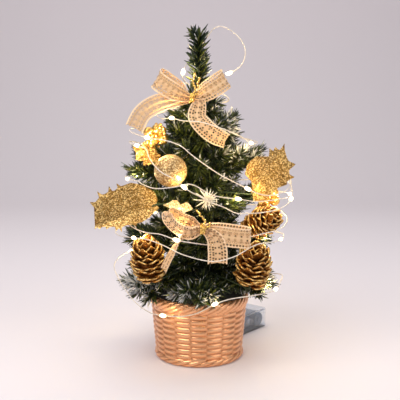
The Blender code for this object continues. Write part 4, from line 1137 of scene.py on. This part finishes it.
def make_tie(name, bow):
    """Crinkled wire wound round the gathered ribbon, with its two ends left loose."""
    knot = np.array(bow["knot"])
    turns = np.linspace(0.0, TIE_COIL_TURNS * 2 * math.pi, 150)
    radius = TIE_COIL + 0.0004 * np.sin(turns * 3.7)
    coil = np.stack([0.0016 * np.sin(turns * 0.43), radius * np.cos(turns), radius * np.sin(turns)], axis=1)
    shapes = [tube(knot + coil, TIE_WIRE, 6)]
    for end in TIE_ENDS[name]:
        line = along_line(catmull([knot + np.array(stop) for stop in end], 12), 0.0006)
        steps = np.arange(len(line))
        crinkle = np.stack([np.sin(steps * 1.9), np.cos(steps * 2.3), np.sin(steps * 1.1)], axis=1)
        shapes.append(tube(line + crinkle * TIE_CRINKLE, TIE_WIRE * 1.1, 6))
    tie = mesh_from(name + "_gold_tie", *join_shapes(shapes), TIE_GOLD)
    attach(tie, "root")
    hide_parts(name + "_tie")


# ---------------------------------------------------------------- leaves

def leaf_half(edge, length):
    """Half a leaf as a grid of (along, out, up), from its midrib's crease to its spiny edge."""
    rim = resample([(0.0, 0.0), *edge], LEAF_ROWS) / 1000.0
    rib = np.clip(np.linspace(0.0, rim[-1, 0], LEAF_ROWS), 0.0, None)
    rib = np.stack([rib, np.zeros(LEAF_ROWS)], axis=1)
    shares = np.linspace(0.0, 1.0, LEAF_STEPS)[None, :, None]
    flat = rib[:, None] * (1.0 - shares) + rim[:, None] * shares
    along, out = flat[..., 0], flat[..., 1]
    rise = LEAF_CREASE * np.abs(out) - LEAF_CUP * out ** 2
    near_edge = np.clip(np.abs(out) / 0.008, 0.0, 1.0)
    ripple = LEAF_RIPPLE * np.sin(along * 260.0 + out * 90.0) * near_edge
    droop = -LEAF_DROOP * (along - length * 0.4) ** 2
    return along, out, rise + ripple + droop


def make_leaf(name):
    """A glitter-coated holly leaf on a wire stem."""
    base, tip, facing = (np.array(part) for part in LEAVES[name])
    x_axis = unit(tip - base)
    z_axis = unit(facing - x_axis * (facing @ x_axis))
    y_axis = np.cross(z_axis, x_axis)
    length = np.linalg.norm(tip - base)
    shapes = []
    for edge in LEAF_EDGES[name]:
        along, out, up = leaf_half(edge, length)
        points = base + along[..., None] * x_axis + out[..., None] * y_axis + up[..., None] * z_axis
        shapes.append(plate(points, z_axis * -LEAF_THICKNESS))
    finish = PALE_GLITTER if name in PALE_LEAVES else GOLD_GLITTER
    leaf = mesh_from(name + "_glitter", *join_shapes(shapes), finish, TWIG, smooth=False)
    back = z_axis * -0.0016
    root = root_of(base, base[2] - 0.004)
    joint = base + back - x_axis * 0.002
    reach = base + x_axis * length * 0.10 + back
    line = catmull([root, root * 0.4 + joint * 0.6, joint, reach], 6)
    add_stem(leaf, line, name)


def add_stem(made, line, body, radius=0.0007):
    """Adds a pick's wire stem to its mesh, and puts the pick on its CAD body."""
    stem = mesh_from(made.name + "_stem", *tube(line, radius, 7), TWIG)
    with bpy.context.temp_override(active_object=made, selected_editable_objects=[made, stem]):
        bpy.ops.object.join()
    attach(made, body)
    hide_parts(body)


# ---------------------------------------------------------------- ball, cones, berries, star

def make_ball():
    """A glitter-coated ball, its surface roughened grain by grain."""
    shape = bmesh.new()
    bmesh.ops.create_icosphere(shape, subdivisions=5, radius=BALL_RADIUS)
    rng = np.random.default_rng(5)
    for vertex in shape.verts:
        vertex.co *= 1.0 + rng.normal(0.0, 0.006)
        vertex.co += Vector(BALL_CENTRE)
    ball = object_from("champagne_ball", shape, CHAMPAGNE)
    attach(ball, "glitter_ball")
    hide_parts("glitter_ball")
    return ball


def make_ball_crown():
    """The ball's fluted metal cap, on the side towards the trunk."""
    centre = np.array(BALL_CENTRE)
    turns = np.arange(CROWN_SIDES) * 2 * math.pi / CROWN_SIDES
    flutes = 1.0 + 0.06 * np.cos(turns * CROWN_FLUTES)
    rings = [
        np.stack([radius * flutes * np.cos(turns), radius * flutes * np.sin(turns),
                  np.full(CROWN_SIDES, BALL_RADIUS + level)], axis=1)
        for radius, level in CROWN_PROFILE
    ]
    inward = unit((-centre[0], -centre[1], 0.020))
    points = np.concatenate(rings) @ turn_to(inward).T + centre
    crown = mesh_from("ball_crown", points, capped_grid(len(rings), CROWN_SIDES), TIE_GOLD)
    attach(crown, "glitter_ball")
    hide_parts("ball_cap")


def petal(width, length, thick):
    """A closed cone scale: it grows along +X, faces +Z and has a rounded end with a knob."""
    rows, columns = 7, 7
    share = np.linspace(0.0, 1.0, rows)[:, None]
    side = np.linspace(-1.0, 1.0, columns)[None, :]
    half = width / 2 * (0.45 + 0.55 * np.sin(math.pi * np.minimum(share * 0.75 + 0.1, 1.0)))
    half = half * np.where(share < 0.9, 1.0, 0.72)
    along = length * (share - 0.16 * side ** 2 * share)
    lift = thick * (0.5 + 1.1 * share ** 2 * (1.0 - side ** 2) + 0.5 * share)
    points, faces = plate(np.stack([along, half * side, lift], axis=2), (0.0, 0.0, -thick))
    # higher towards the tip and sides: painted highlight; the underside gets less: painted shade
    edge = (share ** 2 * (0.55 + 0.45 * np.abs(side))).reshape(-1)
    return points, faces, np.concatenate([edge, edge * 0.4])


def make_cone(name):
    """A pine cone: scales wound on a core by the golden angle, smaller towards the tip."""
    centre, length, radius, axis = CONES[name]
    centre = np.array(centre)
    turn = turn_to(axis)
    shapes, edges = [], []
    rng = np.random.default_rng(len(name) + 3)
    core = [(0.0, 0.0, length * up) for up in np.linspace(-0.46, 0.46, len(CONE_CORE))]
    shapes.append(tube(core, radius * np.array(CONE_CORE), 12))
    # the core's zero share paints it dark: painted shade
    edges.append(np.zeros(len(shapes[0][0])))
    for k in range(CONE_SCALES):
        share = (k + 0.5) / CONE_SCALES
        angle = k * GOLDEN_ANGLE + rng.normal(0.0, 0.10)
        girth = math.sin(math.pi * min(1.0, 0.16 + 0.80 * share)) ** 0.6
        level = length * (-0.47 + 0.90 * share)
        size = radius * (0.40 + 0.22 * girth) * rng.uniform(0.86, 1.14)
        points, faces, edge = petal(size * 1.15, size * 1.25, SCALE_THICKNESS)
        tilt = math.radians(SCALE_TILT + SCALE_TILT_GAIN * share + rng.normal(0.0, 9.0))
        reach = radius * 1.06 * girth - size * 1.15 * math.cos(tilt)
        lean = np.array(Matrix.Rotation(-tilt, 3, "Y"))
        spin = np.array(Matrix.Rotation(angle, 3, "Z"))
        points = points @ lean.T + np.array((max(reach, 0.0005), 0.0, 0.0))
        points = points @ spin.T + np.array((0.0, 0.0, level))
        shapes.append((points, faces))
        edges.append(edge)
    points, faces = join_shapes(shapes)
    cone = mesh_from(name + "_scales", points @ turn.T + centre, faces, CONE)
    store(cone, "edge", np.concatenate(edges))
    way = unit(axis)
    butt = centre - way * length * 0.5
    root = root_of(centre, butt[2] + 0.004)
    elbow = butt - way * 0.003
    add_stem(cone, catmull([root, root * 0.25 + elbow * 0.75, elbow, centre - way * length * 0.38], 6), name)
    return cone


def make_berries(name):
    """Shiny berries and small beads crowded on one wire."""
    centre = np.array(BERRIES[name])
    rng = np.random.default_rng(8)
    balls = [(centre + np.array(offset) * BERRY_RADIUS, BERRY_RADIUS) for offset in BERRY_OFFSETS]
    for _ in range(BEADS):
        way = unit(rng.normal(size=3) + np.array((0.0, -0.4, 0.1)))
        place = centre + way * BERRY_RADIUS * rng.uniform(1.7, 2.5)
        balls.append((place, rng.uniform(*BEAD_RADII)))
    shape = bmesh.new()
    for place, radius in balls:
        bmesh.ops.create_icosphere(
            shape, subdivisions=3, radius=radius, matrix=Matrix.Translation(Vector(place)))
    made = object_from(name + "_gold", shape, BERRY)
    made.data.shade_smooth()
    root = root_of(centre, centre[2] - 0.010)
    middle = root * 0.45 + centre * 0.55
    add_stem(made, catmull([root, middle, centre], 8), name)
    return made


def make_star():
    """A frosted burst of thin spikes on a wire."""
    centre = np.array(STAR_CENTRE)
    shapes = [tube((centre - (0, 0.0018, 0), centre + (0, 0.0018, 0)), 0.0018, 10)]
    for k in range(STAR_SPIKES):
        level = 1.0 - 2.0 * (k + 0.5) / STAR_SPIKES
        ring = math.sqrt(1.0 - level ** 2)
        way = np.array((ring * math.cos(k * GOLDEN_ANGLE), level, ring * math.sin(k * GOLDEN_ANGLE)))
        long = STAR_REACH * (0.8 + 0.35 * ((k * 7) % 5) / 4)
        spine = centre + way * np.linspace(0.0, long, 4)[:, None]
        shapes.append(tube(spine, (0.0006, 0.0006, 0.0005, 0.0001), 6))
    star = mesh_from("frosted_burst", *join_shapes(shapes), FROST)
    root = root_of(centre, centre[2] - 0.002)
    add_stem(star, catmull([root, root * 0.45 + centre * 0.55, centre], 8), "frost_star")
    return star


# ---------------------------------------------------------------- CAD pieces that are shown

SHOWN_NODES = {
    "plaster_weight": PLASTER_IN_PAINTED_SHADE, "trunk_stem": TWIG, "ball_wire": TIE_GOLD, "battery_case": CLEAR,
    "battery_cover": CLEAR, "wire_gland": CLEAR, "circuit_board": BOARD, "switch_knob": BLACK,
    "battery_1": SKIN, "battery_2": SKIN, "battery_3": SKIN,
    "spring_1": STEEL, "spring_2": STEEL, "spring_3": STEEL,
}


def dress_frame():
    """Better materials for the CAD pieces that are shown as they are."""
    for name, finish in SHOWN_NODES.items():
        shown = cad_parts[name]
        shown.data.materials.clear()
        shown.data.materials.append(finish)


def surface_tree(pieces):
    """One search tree over the surfaces of all the ornaments."""
    bpy.context.view_layer.update()
    seen = bpy.context.evaluated_depsgraph_get()
    vertices, faces = [], []
    for piece in pieces:
        mesh = piece.evaluated_get(seen).to_mesh()
        start = len(vertices)
        vertices.extend(piece.matrix_world @ v.co for v in mesh.vertices)
        faces.extend([start + k for k in polygon.vertices] for polygon in mesh.polygons)
    return BVHTree.FromPolygons(vertices, faces)


def main():
    """Builds everything, the needles last, because they keep clear of the ornaments."""
    make_camera()
    make_light_string()
    make_studio()
    make_pot()
    ornaments = [make_ribbon(name, bow) for name, bow in BOWS.items()]
    for name, bow in BOWS.items():
        make_tie(name, bow)
    for name in LEAVES:
        make_leaf(name)
        ornaments.append(bpy.data.objects[name + "_glitter"])
    ornaments.append(make_ball())
    make_ball_crown()
    ornaments += [make_cone(name) for name in CONES]
    ornaments += [make_berries(name) for name in BERRIES]
    ornaments.append(make_star())
    make_needles(surface_tree(ornaments))
    dress_frame()


main()
